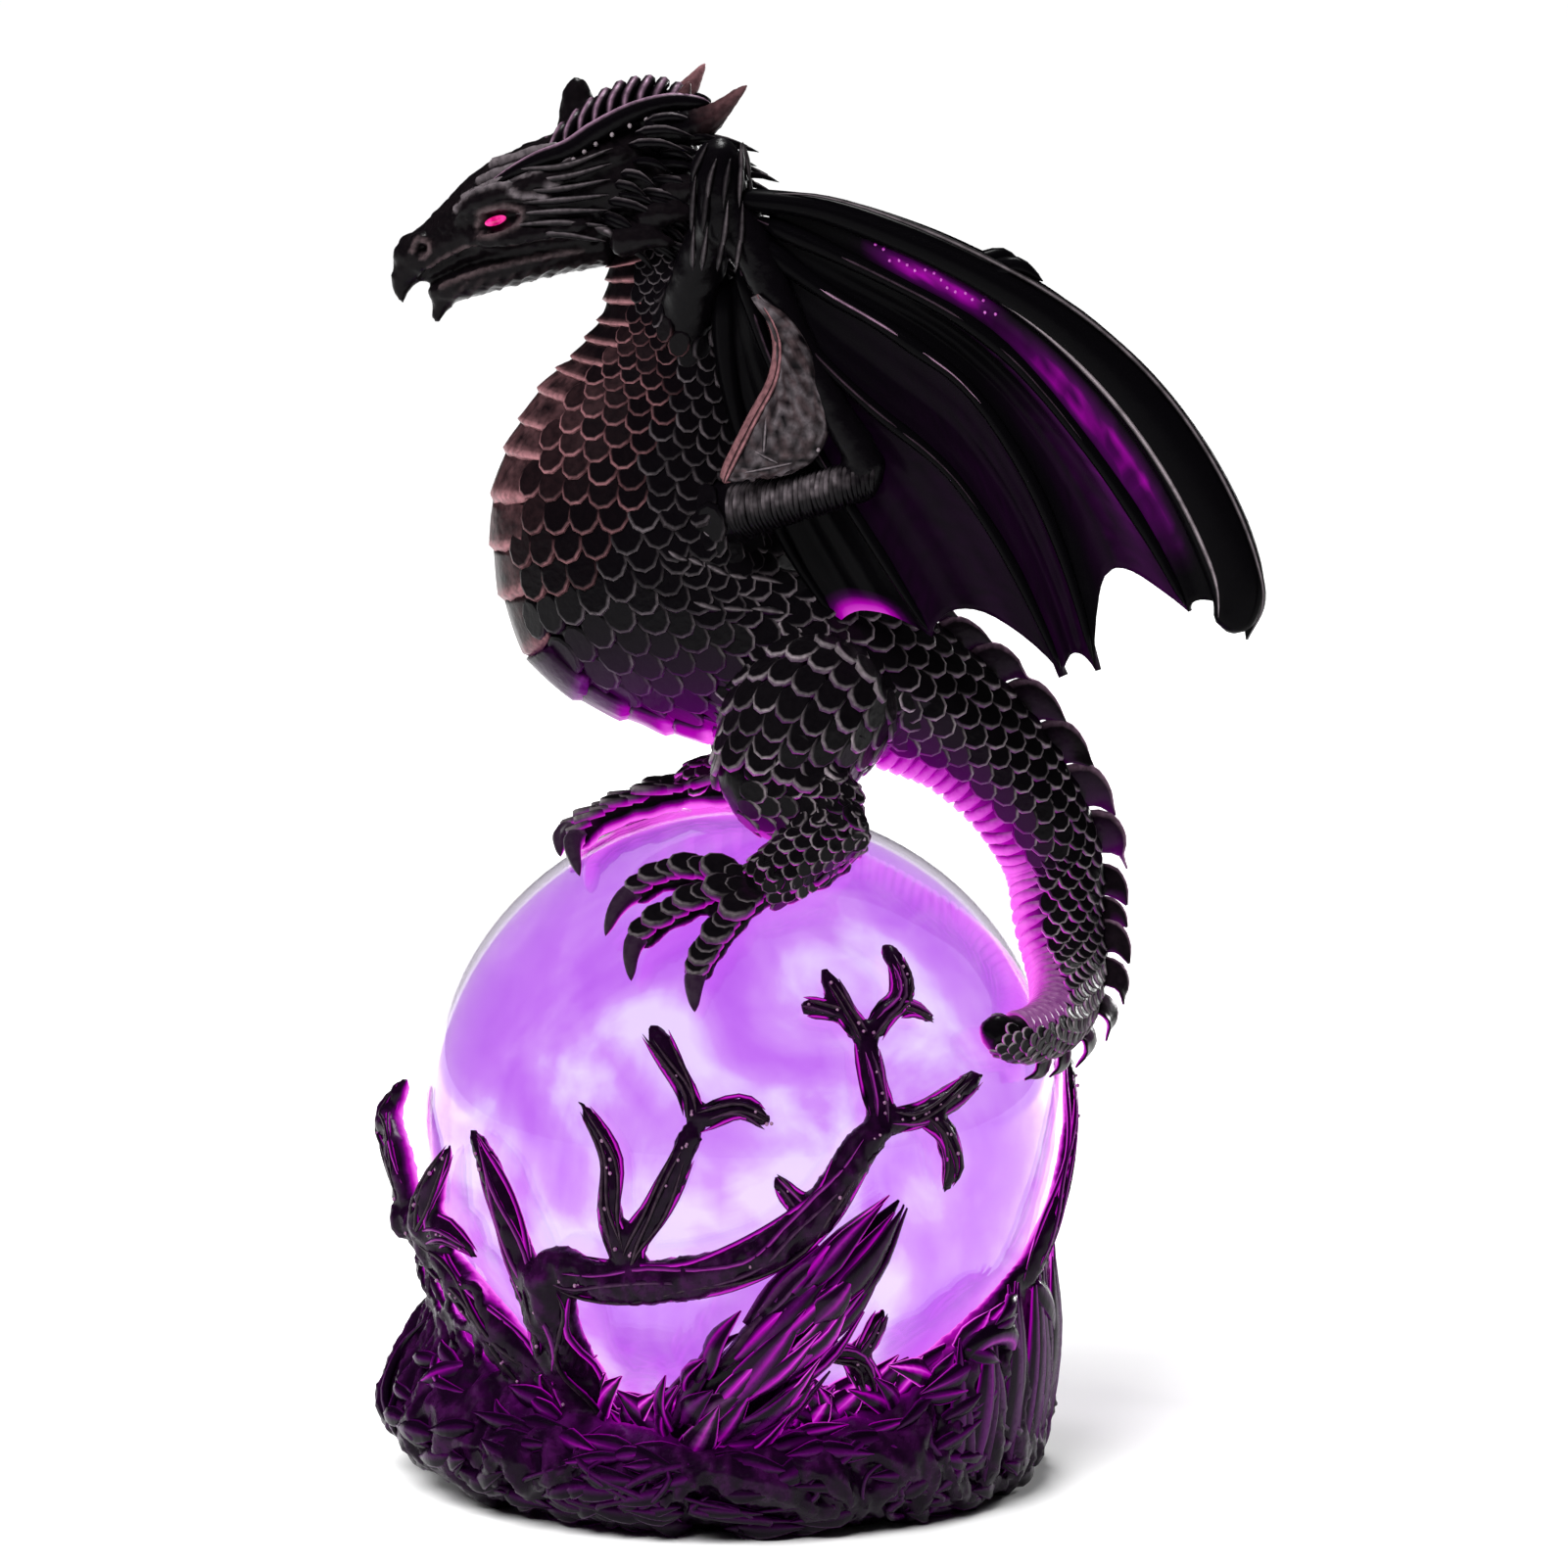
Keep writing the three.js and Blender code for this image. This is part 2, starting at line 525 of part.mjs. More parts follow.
// Branches that climb the glass: [path, radii], each radius a share of its kind's size
const branches = [
  [trunkRadius, [[-40, -58, 8], [-36, -40, 3], [-35, -25], [-34, -13]], [1.3, 1, 0.95, 0.9]],
  [limbRadius, [[-36, -26], [-39.5, -17], [-42, -8], [-46, 0], [-53, 6.5]], [1.2, 0.85, 0.7, 0.6, 0.3]],
  [limbRadius, [[-36, -13], [-26, -15.5], [-12, -14.6], [2, -10.5], [12, -3.5], [18, 5], [24, 11]],
    [1.2, 1, 1, 1, 0.95, 0.85, 0.8]],
  [twigRadius, [[24, 10], [23, 17], [23, 26]], [1.4, 1.1, 1]],
  [twigRadius, [[23, 24], [20, 29], [17, 37.5]], [1.1, 0.85, 0.9]],
  [twigRadius, [[20, 29], [11, 31]], [0.8, 0.8]],
  [twigRadius, [[23, 24], [27, 28], [32, 31], [34, 36], [33, 41.5]], [1.1, 0.95, 0.95, 0.9, 1]],
  [twigRadius, [[29, 29.2], [34, 29], [39, 26.5]], [0.9, 0.7, 0.4]],
  [twigRadius, [[24, 11], [30, 11], [38, 13.4], [46, 16.5]], [1.4, 0.95, 0.95, 0.95]],
  [twigRadius, [[31, 12], [35.5, 8], [37, 2.5], [36, -2.5]], [1, 1, 1.15, 0.3]],
  [twigRadius, [[12, -4], [8.5, -1], [5, 3]], [1.3, 0.9, 0.3]],
  [twigRadius, [[-19, -14], [-18, -9], [-14, -3], [-10.5, 4], [-7.5, 12]], [1.6, 1.25, 1.15, 1, 1.1]],
  [twigRadius, [[-7.5, 11], [-9, 16], [-12, 20.5], [-17, 27.5]], [1.1, 0.75, 0.85, 1.25]],
  [twigRadius, [[-8, 11.5], [0, 14], [5, 11]], [1, 1, 0.6]],
  [twigRadius, [[-19, -13], [-22, -4], [-22, 5], [-29, 14]], [1.4, 1.1, 0.8, 0.5]],
  [limbRadius, [[-43, -56, 6], [-46, -40, 3], [-51, -30], [-58, -22], [-68, -17], [-75, -12]],
    [1.6, 1.3, 1.1, 1, 0.95, 1.1]],
  [twigRadius, [[-70, -15], [-66, -8], [-59, 3]], [2.2, 1.8, 0.3]],
  [twigRadius, [[-69, -15.5], [-61, -12.5], [-54.5, -17]], [1.9, 1.4, 0.3]],
  [twigRadius, [[-76, -12, 3], [-80, -3, 3.4], [-88, 2, 4.2], [-86, 9, 2.4]], [1.6, 1.7, 1.6, 0.6]],
  [twigRadius, [[30, -46, 5], [23, -32], [18, -30], [12.5, -29]], [1.8, 1.2, 0.9, 0.6]],
  [twigRadius, [[23, -32], [26.5, -22]], [1.1, 0.6]],
  [twigRadius, [[62, -24, 1.6], [68, -9], [76, 4], [89, 14]], [1.8, 1.1, 0.75, 0.7]],
];
// The side away from the front has a plainer tree of its own
const rearBranches = [
  [trunkRadius, [[168, -56, 8], [166, -40, 3], [160, -26], [150, -14]], [1.2, 1, 0.9, 0.8]],
  [limbRadius, [[160, -30, 3], [165, -10], [176, 4], [190, 9]], [1.3, 0.9, 0.75, 0.5]],
  [limbRadius, [[150, -15], [140, -4], [134, 8], [138, 20]], [1.1, 0.9, 0.7, 0.4]],
  [twigRadius, [[176, 3], [172, 12], [178, 21]], [1.4, 1, 0.5]],
  [limbRadius, [[216, -50, 5], [219, -32], [228, -18], [240, -8], [246, 4]], [1.4, 1.1, 0.9, 0.7, 0.4]],
];

const growth = ([size, path, shares]) =>
  creeper(path, shares.map((share) => share * size), { sides: size > twigRadius ? 5 : 4 });

// Leaves that spring from the ledge: azimuth and elevation of foot and tip, half width
const leaves = [
  [-6, -50, 28, 0, 5.6],
  [-16, -46, -2, -24, 4],
  [-2, -50, -12, -36, 3.4],
  [10, -52, 0, -37, 3.6],
  [22, -50, 16, -38, 3],
  [42, -46, 34, -34, 3.2],
  [-58, -50, -62, -30, 4],
  [-80, -46, -78, -24, 4],
  [110, -46, 112, -12, 4.2],
  [190, -50, 196, -28, 4],
  [240, -46, 236, -26, 4],
];

function leaf([footAzimuth, footElevation, tipAzimuth, tipElevation, width]) {
  const path = [0, 0.35, 0.7, 1].map((share) => [
    THREE.MathUtils.lerp(footAzimuth, tipAzimuth, share),
    THREE.MathUtils.lerp(footElevation, tipElevation, share),
    3.2 - 1.2 * share,
  ]);
  return creeper(path, [width * 0.7, width, width * 0.8, 0.4], { heights: [2.8, 2.6, 2, 0.5], sides: 4 });
}

// A leaf's end rolled into a spiral, on the right of the ledge
function curl() {
  const turns = Array.from({ length: 6 }, (_, k) => [
    41 + (7 - 1.3 * k) * Math.cos(k * 1.1 - 0.4),
    -37 + (5 - 0.95 * k) * Math.sin(k * 1.1 - 0.4),
    2.6 - 0.1 * k,
  ]);
  return creeper([[56, -45, 3], ...turns], [3, 2.6, 2.4, 2.2, 2, 1.6, 1.2]);
}

function base() {
  const pieces = [cup(), ...branches.map(growth), ...rearBranches.map(growth), ...leaves.map(leaf), curl()];
  const knob = new THREE.SphereGeometry(3, 8, 6);
  knob.translate(...onGlobe(-77, -13, 3.2).toArray());
  return unite([...pieces, solid(knob)]).subtract(globeRoom);
}

const resin = new THREE.MeshStandardMaterial({ color: 0x17121a, roughness: 0.38, metalness: 0.15 });
const rootResin = new THREE.MeshStandardMaterial({ color: 0x1b0c20, roughness: 0.42, metalness: 0.1 });
const glass = new THREE.MeshStandardMaterial({ color: 0xc98aff, roughness: 0.08, metalness: 0 });

function named(name, shape, material) {
  const made = shape.getMesh();
  const geometry = new THREE.BufferGeometry();
  geometry.setAttribute("position", new THREE.BufferAttribute(made.vertProperties, 3));
  geometry.setIndex(new THREE.BufferAttribute(made.triVerts, 1));
  geometry.computeVertexNormals();
  const mesh = new THREE.Mesh(geometry, material);
  mesh.name = name;
  return mesh;
}

const statue = new THREE.Group();
statue.add(named("base", base(), rootResin));
statue.add(named("globe", solid(globeShape(globeRadius)), glass));
statue.add(named("dragon", dragon(), resin));
export default statue;
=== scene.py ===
# A horned dragon of cast resin perched on a lit glass globe, in a base of roots and branches.
import math
import random

import bmesh
import bpy
from mathutils import Matrix, Vector, noise
from mathutils.bvhtree import BVHTree
from mathutils.kdtree import KDTree


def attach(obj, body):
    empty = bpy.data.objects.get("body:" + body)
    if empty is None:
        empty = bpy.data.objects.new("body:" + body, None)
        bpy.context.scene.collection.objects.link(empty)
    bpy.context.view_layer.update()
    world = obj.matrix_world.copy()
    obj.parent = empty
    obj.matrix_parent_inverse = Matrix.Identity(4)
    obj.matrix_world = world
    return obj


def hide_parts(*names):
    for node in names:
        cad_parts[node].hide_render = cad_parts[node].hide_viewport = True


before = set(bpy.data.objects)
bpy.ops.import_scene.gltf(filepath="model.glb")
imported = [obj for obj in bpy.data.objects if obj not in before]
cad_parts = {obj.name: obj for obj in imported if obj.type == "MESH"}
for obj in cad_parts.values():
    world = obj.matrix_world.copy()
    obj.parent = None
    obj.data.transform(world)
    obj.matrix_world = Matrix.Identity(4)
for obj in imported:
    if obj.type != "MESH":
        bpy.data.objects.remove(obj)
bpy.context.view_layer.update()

mm = 0.001  # shapes are laid out in millimetres and scaled once, when a piece is finished
chance = random.Random(11)
sideways = Vector((0, 1, 0))
upwards = Vector((0, 0, 1))

statue = {
    "globeRadius": 45.0,
    "globeMiddle": Vector((0, 0, 48.4)),
    "globeTop": 93.4,
    "seatGap": 0.3,  # between the glass and what lies on it
    "flatness": 0.78,  # height of a toe or branch over its width
}
# silver and pink serve both as dry brush and as painted highlights along edges and tops
colours = {
    "copper": (0.42, 0.19, 0.21),
    "silver": (0.38, 0.32, 0.35),
    "bronze": (0.2, 0.14, 0.15),
    "plum": (0.24, 0.02, 0.28),
    "pink": (0.46, 0.27, 0.4),
}
# shares of a scale's size
scaleShape = {"sides": 10, "wide": 0.6, "top": 0.94, "rim": 0.1, "rowStep": 0.66}


# Points, paths and shares

def figure(x, y, z):  # a point of the dragon, its height taken from the globe's top
    return Vector((x, y, statue["globeTop"] + z))


def outwardAt(azimuth, elevation):  # azimuth 0 is the front and 90 the right
    a, e = math.radians(azimuth), math.radians(elevation)
    return Vector((math.sin(a) * math.cos(e), -math.cos(a) * math.cos(e), math.sin(e)))


def onGlobe(azimuth, elevation, lift):
    return statue["globeMiddle"] + outwardAt(azimuth, elevation) * (statue["globeRadius"] + lift)


def fromGlobe(place):
    return (place - statue["globeMiddle"]).normalized()


def ease(x):
    x = min(max(x, 0), 1)
    return x * x * (3 - 2 * x)


def between(low, high, share):
    return low + (high - low) * share


def along(values, t):
    place = min(max(t, 0), 1) * (len(values) - 1)
    i = min(int(place), len(values) - 2)
    return between(values[i], values[i + 1], place - i)


def pathPoint(points, t):
    last = len(points) - 1
    place = min(max(t, 0), 1) * last
    i = min(int(place), last - 1)
    s = place - i
    b, c = points[i], points[i + 1]
    a = points[i - 1] if i else b * 2 - c
    d = points[i + 2] if i + 2 <= last else c * 2 - b
    da, db, dc = (math.sqrt((q - p).length) or 1 for p, q in ((a, b), (b, c), (c, d)))
    m = ((b - a) / da - (c - a) / (da + db) + (c - b) / db) * db
    n = ((c - b) / db - (d - b) / (db + dc) + (d - c) / dc) * db
    return b + m * s + (c * 3 - b * 3 - m * 2 - n) * s ** 2 + (b * 2 - c * 2 + m + n) * s ** 3


def pathWay(points, t):
    t = min(max(t, 0.004), 0.996)
    return (pathPoint(points, t + 0.004) - pathPoint(points, t - 0.004)).normalized()


def placed(centre, wide, high, deep):
    return Matrix(((*wide, 0), (*high, 0), (*deep, 0), (*centre, 1))).transposed()


# Shapes in a bmesh, with two values for the finish: a brushed colour, partly dry brush and partly painted
# highlight, and how far it is painted as lit by the globe, as a glow

def newShape(mesh=None):
    bm = bmesh.new()
    if mesh:
        bm.from_mesh(mesh)
    bm.verts.layers.float_vector.new("paint")
    for key in ("cover", "lit"):
        bm.verts.layers.float.new(key)
    return bm


def brushFor(bm):
    tint = bm.verts.layers.float_vector["paint"]
    cover, glow = (bm.verts.layers.float[key] for key in ("cover", "lit"))

    def brush(v, colour, amount, lit=0.0, over=True):  # not over: only where it covers more than before
        if over or amount > v[cover]:
            v[tint], v[cover] = colours[colour], amount
        v[glow] = lit if over else max(v[glow], lit)

    return brush


def paint(bm, verts, colour, amount, lit=0.0):
    brush = brushFor(bm)
    for v in verts:
        brush(v, colour, amount, lit)


def ringEdges(ring):
    inside = set(ring)
    return list({e for v in ring for e in v.link_edges if e.other_vert(v) in inside})


def bridge(bm, rings):
    for a, b in zip(rings, rings[1:]):
        bmesh.ops.bridge_loops(bm, edges=ringEdges(a) + ringEdges(b))


def limb(bm, points, widths, heights=None, sides=10, rings=14, facing=sideways, swell=None, blunt=0.06):
    heights = heights or widths
    rows = []
    for k in range(rings):
        t = k / (rings - 1)
        centre, way = pathPoint(points, t), pathWay(points, t)
        ref = facing(centre) if callable(facing) else along(facing, t) if isinstance(facing,
                                                                                     list) else facing
        high = (ref - way * ref.dot(way)).normalized()
        end = math.sqrt(1 - (1 - min(min(t, 1 - t) / blunt, 1)) ** 2) if blunt else 1
        end = max(end, 0.3)
        place = placed(centre, way.cross(high) * along(widths, t) * end, high * along(heights, t) * end,
                       way)
        capped = k in (0, rings - 1)
        ring = bmesh.ops.create_circle(bm, cap_ends=capped, radius=1, segments=sides, matrix=place)["verts"]
        if swell:
            for j, v in enumerate(ring):
                v.co += (v.co - centre).normalized() * swell(t, j / sides)
        rows.append(ring)
    bridge(bm, rows)
    return rows


def stroke(bm, points, radii, colour=None, amount=0.0, lit=0.0, sides=5, rings=7, crown=False, **shape):
    # With crown, only the line that faces outward is brushed, mostly as a painted highlight along the top
    rows = limb(bm, points, radii, sides=sides, rings=rings, **shape)
    if colour:
        paint(bm, [row[0] for row in rows] if crown else [v for row in rows for v in row], colour, amount,
              lit)
    return rows


def sheet(bm, surface, across, down):  # a grid bent over surface(u, v), with u and v from 0 to 1
    made = bmesh.ops.create_grid(bm, x_segments=across, y_segments=down, size=0.5)["verts"]
    spots = {v: (v.co.x + 0.5, v.co.y + 0.5) for v in made}
    for v, (u, w) in spots.items():
        v.co = surface(u, w)
    return spots


def thicken(bm, thickness):  # gives the sheets made so far an even wall
    bmesh.ops.remove_doubles(bm, verts=bm.verts, dist=0.02)
    bmesh.ops.recalc_face_normals(bm, faces=bm.faces)
    bm.normal_update()
    away = {v.co.copy().freeze(): v.normal.copy() for v in bm.verts}
    shell = bmesh.ops.extrude_face_region(bm, geom=bm.faces[:], use_keep_orig=True)["geom"]
    for v in shell:
        if isinstance(v, bmesh.types.BMVert):
            v.co -= away[v.co.copy().freeze()] * thickness


def addScale(bm, place, out, lay, size, colour="silver", edge=0.7, face=0.004, tilt=10, long=0.78,
             thick=0.15):
    # An overlapping scale: its free end stands a little off the skin and is brushed light, partly as dry
    # brush and partly as a painted highlight
    side = lay.cross(out).normalized()
    lay = out.cross(side).normalized()
    lean = math.radians(tilt)
    up = out * math.cos(lean) - lay * math.sin(lean)
    forward = lay * math.cos(lean) + out * math.sin(lean)
    centre = place - lay * size * 0.2 + out * thick * size * 0.3
    spot = placed(centre, side * size * scaleShape["wide"], forward * size * long, up)
    sides = scaleShape["sides"]
    made = bmesh.ops.create_cone(bm, cap_ends=True, segments=sides, radius1=1, radius2=scaleShape["top"],
                                 depth=thick * size, matrix=spot)["verts"]
    top = max({f for v in made for f in v.link_faces if len(f.verts) == sides},
              key=lambda f: (f.calc_center_median() - centre).dot(up))
    brush = brushFor(bm)
    # lighter towards the free end: dry brush and painted highlight
    for v in made:
        front = ease((v.co - centre).dot(forward) / (size * long) * 2.0 - 0.1)
        brush(v, colour, between(face, edge, front))
    for e in top.edges:
        e.smooth = False
    bmesh.ops.inset_individual(bm, faces=[top], thickness=scaleShape["rim"] * size, depth=0.05 * size,
                               use_even_offset=False)
    for v in top.verts:
        brush(v, colour, face)


def addBead(heap, spot, radius, colour, amount, lit=0.0, sides=6):
    made = bmesh.ops.create_uvsphere(heap.room(), u_segments=sides, v_segments=4, radius=radius,
                                     matrix=Matrix.Translation(spot))
    paint(heap.bm, made["verts"], colour, amount, lit)


def carve(bm, finder, tree, line, width, depth, colour=None, amount=0.0):
    # A groove or ridge along a line that is first laid on the surface
    length = sum((q - p).length for p, q in zip(line, line[1:]))
    steps = max(3, int(length / (width * 0.4)))
    near = {}
    for k in range(steps + 1):
        spot = tree.find_nearest(pathPoint(line, k / steps))[0]
        for _, index, distance in finder.find_range(spot, width):
            near[index] = min(near.get(index, 9), distance / width)
    brush = brushFor(bm)
    for index, share in near.items():
        v = bm.verts[index]
        profile = (1 - share * share) ** 2
        v.co += v.normal * depth * profile
        if colour:
            brush(v, colour, amount * profile, over=False)


def finderOf(bm):
    bm.verts.ensure_lookup_table()
    bm.normal_update()
    finder = KDTree(len(bm.verts))
    for i, v in enumerate(bm.verts):
        finder.insert(v.co, i)
    finder.balance()
    return finder, BVHTree.FromBMesh(bm)


def meshFrom(bm, name, smooth=True):
    bmesh.ops.recalc_face_normals(bm, faces=bm.faces)
    for f in bm.faces:
        f.smooth = smooth
    mesh = bpy.data.meshes.new(name)
    bm.to_mesh(mesh)
    bm.free()
    return mesh


class Heap:  # gathers many small shapes in small meshes, which keeps the operators quick
    def __init__(self, limit=600):
        self.meshes, self.bm, self.limit = [], newShape(), limit

    def room(self):
        if len(self.bm.verts) > self.limit:
            self.close()
        return self.bm

    def close(self):
        self.meshes.append(meshFrom(self.bm, "part"))
        self.bm = newShape()
        return self.meshes


def fused(meshes, name, voxel, passes):
    # Grows overlapping forms into one skin, as clay is smoothed together
    bm = bmesh.new()
    for mesh in meshes:
        bm.from_mesh(mesh)
    draft = bpy.data.objects.new(name, meshFrom(bm, name))
    bpy.context.scene.collection.objects.link(draft)
    skin = draft.modifiers.new("skin", "REMESH")
    skin.mode, skin.voxel_size = "VOXEL", voxel
    soft = draft.modifiers.new("soft", "SMOOTH")
    soft.factor, soft.iterations = 0.5, passes
    ready = draft.evaluated_get(bpy.context.evaluated_depsgraph_get())
    mesh = bpy.data.meshes.new_from_object(ready)
    bpy.data.objects.remove(draft)
    return newShape(mesh)


def pieceFrom(name, parts):
    # Joins the finished meshes, each with its material, into one object in metres
    objects = []
    for k, (mesh, material) in enumerate(parts):
        mesh.materials.clear()
        mesh.materials.append(material)
        made = bpy.data.objects.new(f"{name}{k}", mesh)
        bpy.context.scene.collection.objects.link(made)
        objects.append(made)
    if len(objects) > 1:
        chosen = {"active_object": objects[0], "object": objects[0],
                  "selected_objects": objects, "selected_editable_objects": objects}
        with bpy.context.temp_override(**chosen):
            bpy.ops.object.join()
    piece = objects[0]
    piece.name = piece.data.name = name
    piece.data.transform(Matrix.Scale(mm, 4))
    triangles = sum(len(f.vertices) - 2 for f in piece.data.polygons)
    print(f"{name}: {triangles} triangles")
    return piece


# Node helpers and the effects that more than one finish uses

def feed(nodes, node, inputs):
    for key, value in inputs.items():
        if isinstance(value, bpy.types.NodeSocket):
            nodes.links.new(value, node.inputs[key])
        else:
            node.inputs[key].default_value = value


def addNode(nodes, kind, inputs=None, **settings):
    made = nodes.nodes.new("ShaderNode" + kind)
    for key, value in settings.items():
        setattr(made, key, value)
    feed(nodes, made, inputs or {})
    return made


def maths(nodes, operation, *values, **settings):
    return addNode(nodes, "Math", dict(enumerate(values)), operation=operation, **settings).outputs[0]


def vectorMaths(nodes, operation, *values):
    return addNode(nodes, "VectorMath", dict(enumerate(values)), operation=operation).outputs


def mapRange(nodes, value, low, high, start=0.0, end=1.0):
    ends = {"From Min": low, "From Max": high, "To Min": start, "To Max": end}
    return addNode(nodes, "MapRange", {"Value": value, **ends}).outputs[0]


def addNoise(nodes, inputs):
    return addNode(nodes, "TexNoise", inputs).outputs[0]


def addRamp(nodes, value, stops):
    ramp = addNode(nodes, "ValToRGB", {"Fac": value})
    ends = ramp.color_ramp.elements
    for k, stop in enumerate((stops[0], stops[-1])):
        ends[k].position, ends[k].color = stop[0], (*stop[1], 1)
    for spot, colour in stops[1:-1]:
        ends.new(spot).color = (*colour, 1)
    return ramp.outputs["Color"]


def objectPlace(nodes):
    return addNode(nodes, "TexCoord").outputs["Object"]


def newMaterial(name):
    material = bpy.data.materials.new(name)
    material.use_nodes = True
    return material, material.node_tree, material.node_tree.nodes["Principled BSDF"]


def newGroup(name, inputs, outputs):
    group = bpy.data.node_groups.new(name, "ShaderNodeTree")
    for title, kind, value in inputs:
        socket = group.interface.new_socket(name=title, in_out="INPUT", socket_type="NodeSocket" + kind)
        socket.default_value = value
    for title, kind in outputs:
        group.interface.new_socket(name=title, in_out="OUTPUT", socket_type="NodeSocket" + kind)
    return group, group.nodes.new("NodeGroupInput").outputs, group.nodes.new("NodeGroupOutput")


def makeGlobeLight():
    # How strongly a spot is painted as lit from the globe, as a glow in its emission: near it, and turned
    # towards it
    group, given, result = newGroup("globeLight", [("Reach", "Float", 0.03), ("Spread", "Float", 0.3)],
                                    [("Mask", "Float")])
    radius = statue["globeRadius"] * mm
    inward = vectorMaths(group, "SUBTRACT", tuple(statue["globeMiddle"] * mm), objectPlace(group))[0]
    distance = vectorMaths(group, "LENGTH", inward)["Value"]
    unit = vectorMaths(group, "NORMALIZE", inward)[0]
    normal = addNode(group, "NewGeometry").outputs["Normal"]
    turned = vectorMaths(group, "DOT_PRODUCT", unit, normal)["Value"]
    facing = mapRange(group, turned, maths(group, "SUBTRACT", 0.0, given["Spread"]), 0.95)
    nearness = mapRange(group, distance, maths(group, "ADD", radius, given["Reach"]), radius)
    steep = maths(group, "POWER", nearness, 1.8)
    feed(group, result, {"Mask": maths(group, "MULTIPLY", facing, steep)})
    return group


def makeDryBrushAndHighlight():
    # A metallic brush dragged over raised edges, which also serves as painted highlights on them: it breaks
    # up where the casting is rough
    group, given, result = newGroup(
        "dryBrushAndHighlight",
        [("Ground", "Color", (0.01, 0.008, 0.012, 1)), ("Grain", "Float", 900.0), ("Cover", "Float", 1.0)],
        [("Color", "Color"), ("Amount", "Float"), ("Lit", "Float")],
    )
    brushed, cover, lit = (addNode(group, "Attribute", attribute_name=key) for key in ("paint", "cover",
                                                                                       "lit"))
    speck = addNoise(group, {"Vector": objectPlace(group), "Scale": given["Grain"], "Detail": 4.0})
    rough = mapRange(group, speck, 0.35, 0.62, 0.45)
    edge = maths(group, "MULTIPLY", cover.outputs["Fac"], rough)
    amount = maths(group, "MULTIPLY", edge, given["Cover"], use_clamp=True)
    mixed = addNode(group, "Mix", {0: amount, 6: given["Ground"], 7: brushed.outputs["Color"]},
                    data_type="RGBA")
    feed(group, result, {"Color": mixed.outputs[2], "Amount": amount, "Lit": lit.outputs["Fac"]})
    return group


def makeCastGrain():
    # The fine pits and brush marks of painted cast resin, as heights
    group, given, result = newGroup(
        "castGrain", [("Scale", "Float", 700.0), ("Stretch", "Vector", (1, 1, 1))], [("Height", "Float")]
    )
    drawn = {"Vector": vectorMaths(group, "MULTIPLY", objectPlace(group), given["Stretch"])[0],
             "Scale": given["Scale"]}
    fine = addNoise(group, {**drawn, "Detail": 5.0})
    pits = addNode(group, "TexVoronoi", drawn).outputs["Distance"]
    feed(group, result, {"Height": maths(group, "MULTIPLY_ADD", pits, 0.35, fine)})
    return group


effects = {"light": makeGlobeLight(), "brush": makeDryBrushAndHighlight(), "grain": makeCastGrain()}
# colours of the painted glow from the globe, from none to full
globeShades = ((0.0, (0, 0, 0)), (0.25, (0.06, 0.0, 0.075)), (0.6, (0.46, 0.0, 0.46)),
               (1.0, (1.0, 0.13, 0.92)))


def placeGroup(nodes, key, inputs):
    made = addNode(nodes, "Group")
    made.node_tree = effects[key]
    feed(nodes, made, inputs)
    return made.outputs


def makeResin(name, look):
    material, nodes, shader = newMaterial(name)
    brush = placeGroup(nodes, "brush",
                       {"Ground": (*look["ground"], 1), "Grain": look["grain"], "Cover": look["cover"]})
    grain = placeGroup(nodes, "grain", {"Scale": look["pits"], "Stretch": look["stretch"]})
    light = placeGroup(nodes, "light", {"Reach": look["reach"], "Spread": look["spread"]})
    bump = addNode(nodes, "Bump", {"Strength": look["bump"], "Distance": 0.0002, "Height": grain["Height"]})
    glow = maths(nodes, "MULTIPLY_ADD", light["Mask"], look["glow"], brush["Lit"])
    feed(nodes, shader, {
        "Base Color": brush["Color"],
        "Metallic": maths(nodes, "MULTIPLY", brush["Amount"], look["metal"]),
        "Roughness": mapRange(nodes, brush["Amount"], 0.0, 1.0, look["roughness"], 0.5),
        "Normal": bump.outputs["Normal"],
        "Emission Color": addRamp(nodes, glow, globeShades),
        "Emission Strength": look["emission"],
        "Specular IOR Level": look["specular"],
    })
    return material


dragonResin = makeResin("dragonResin", {
    "ground": (0.0016, 0.0012, 0.0018), "grain": 1100.0, "cover": 1.0, "pits": 900.0, "stretch": (1, 1, 1),
    "reach": 0.036, "spread": 0.2, "metal": 0.5, "roughness": 0.28, "bump": 0.4, "glow": 1.25,
    "emission": 0.95, "specular": 0.07,
})
skinResin = makeResin("wingResin", {
    "ground": (0.0012, 0.001, 0.0014), "grain": 500.0, "cover": 1.0, "pits": 350.0, "stretch": (1, 1, 1),
    "reach": 0.026, "spread": 0.25, "metal": 0.4, "roughness": 0.3, "bump": 0.2, "glow": 0.8,
    "emission": 0.9, "specular": 0.03,
})
rootResin = makeResin("rootResin", {
    "ground": (0.003, 0.0007, 0.004), "grain": 1000.0, "cover": 0.8, "pits": 700.0, "stretch": (1, 1, 0.3),
    "reach": 0.014, "spread": 0.15, "metal": 0.4, "roughness": 0.26, "bump": 0.5, "glow": 1.2,
    "emission": 1.0, "specular": 0.1,
})


def makeEyeGlow():
    # the eye's magenta, made to glow as painted light
    material, nodes, shader = newMaterial("eyeGlow")
    cloud = addNoise(nodes, {"Vector": objectPlace(nodes), "Scale": 900.0, "Detail": 2.0})
    feed(nodes, shader, {
        "Emission Color": addRamp(nodes, cloud, ((0.38, (0.4, 0.0, 0.1)), (0.66, (1.0, 0.05, 0.36)))),
        "Emission Strength": 1.0,
        "Base Color": (0.2, 0.0, 0.05, 1),
        "Roughness": 0.1,
    })
    return material


eyeGlow = makeEyeGlow()
print("finishes ready")

# The dragon

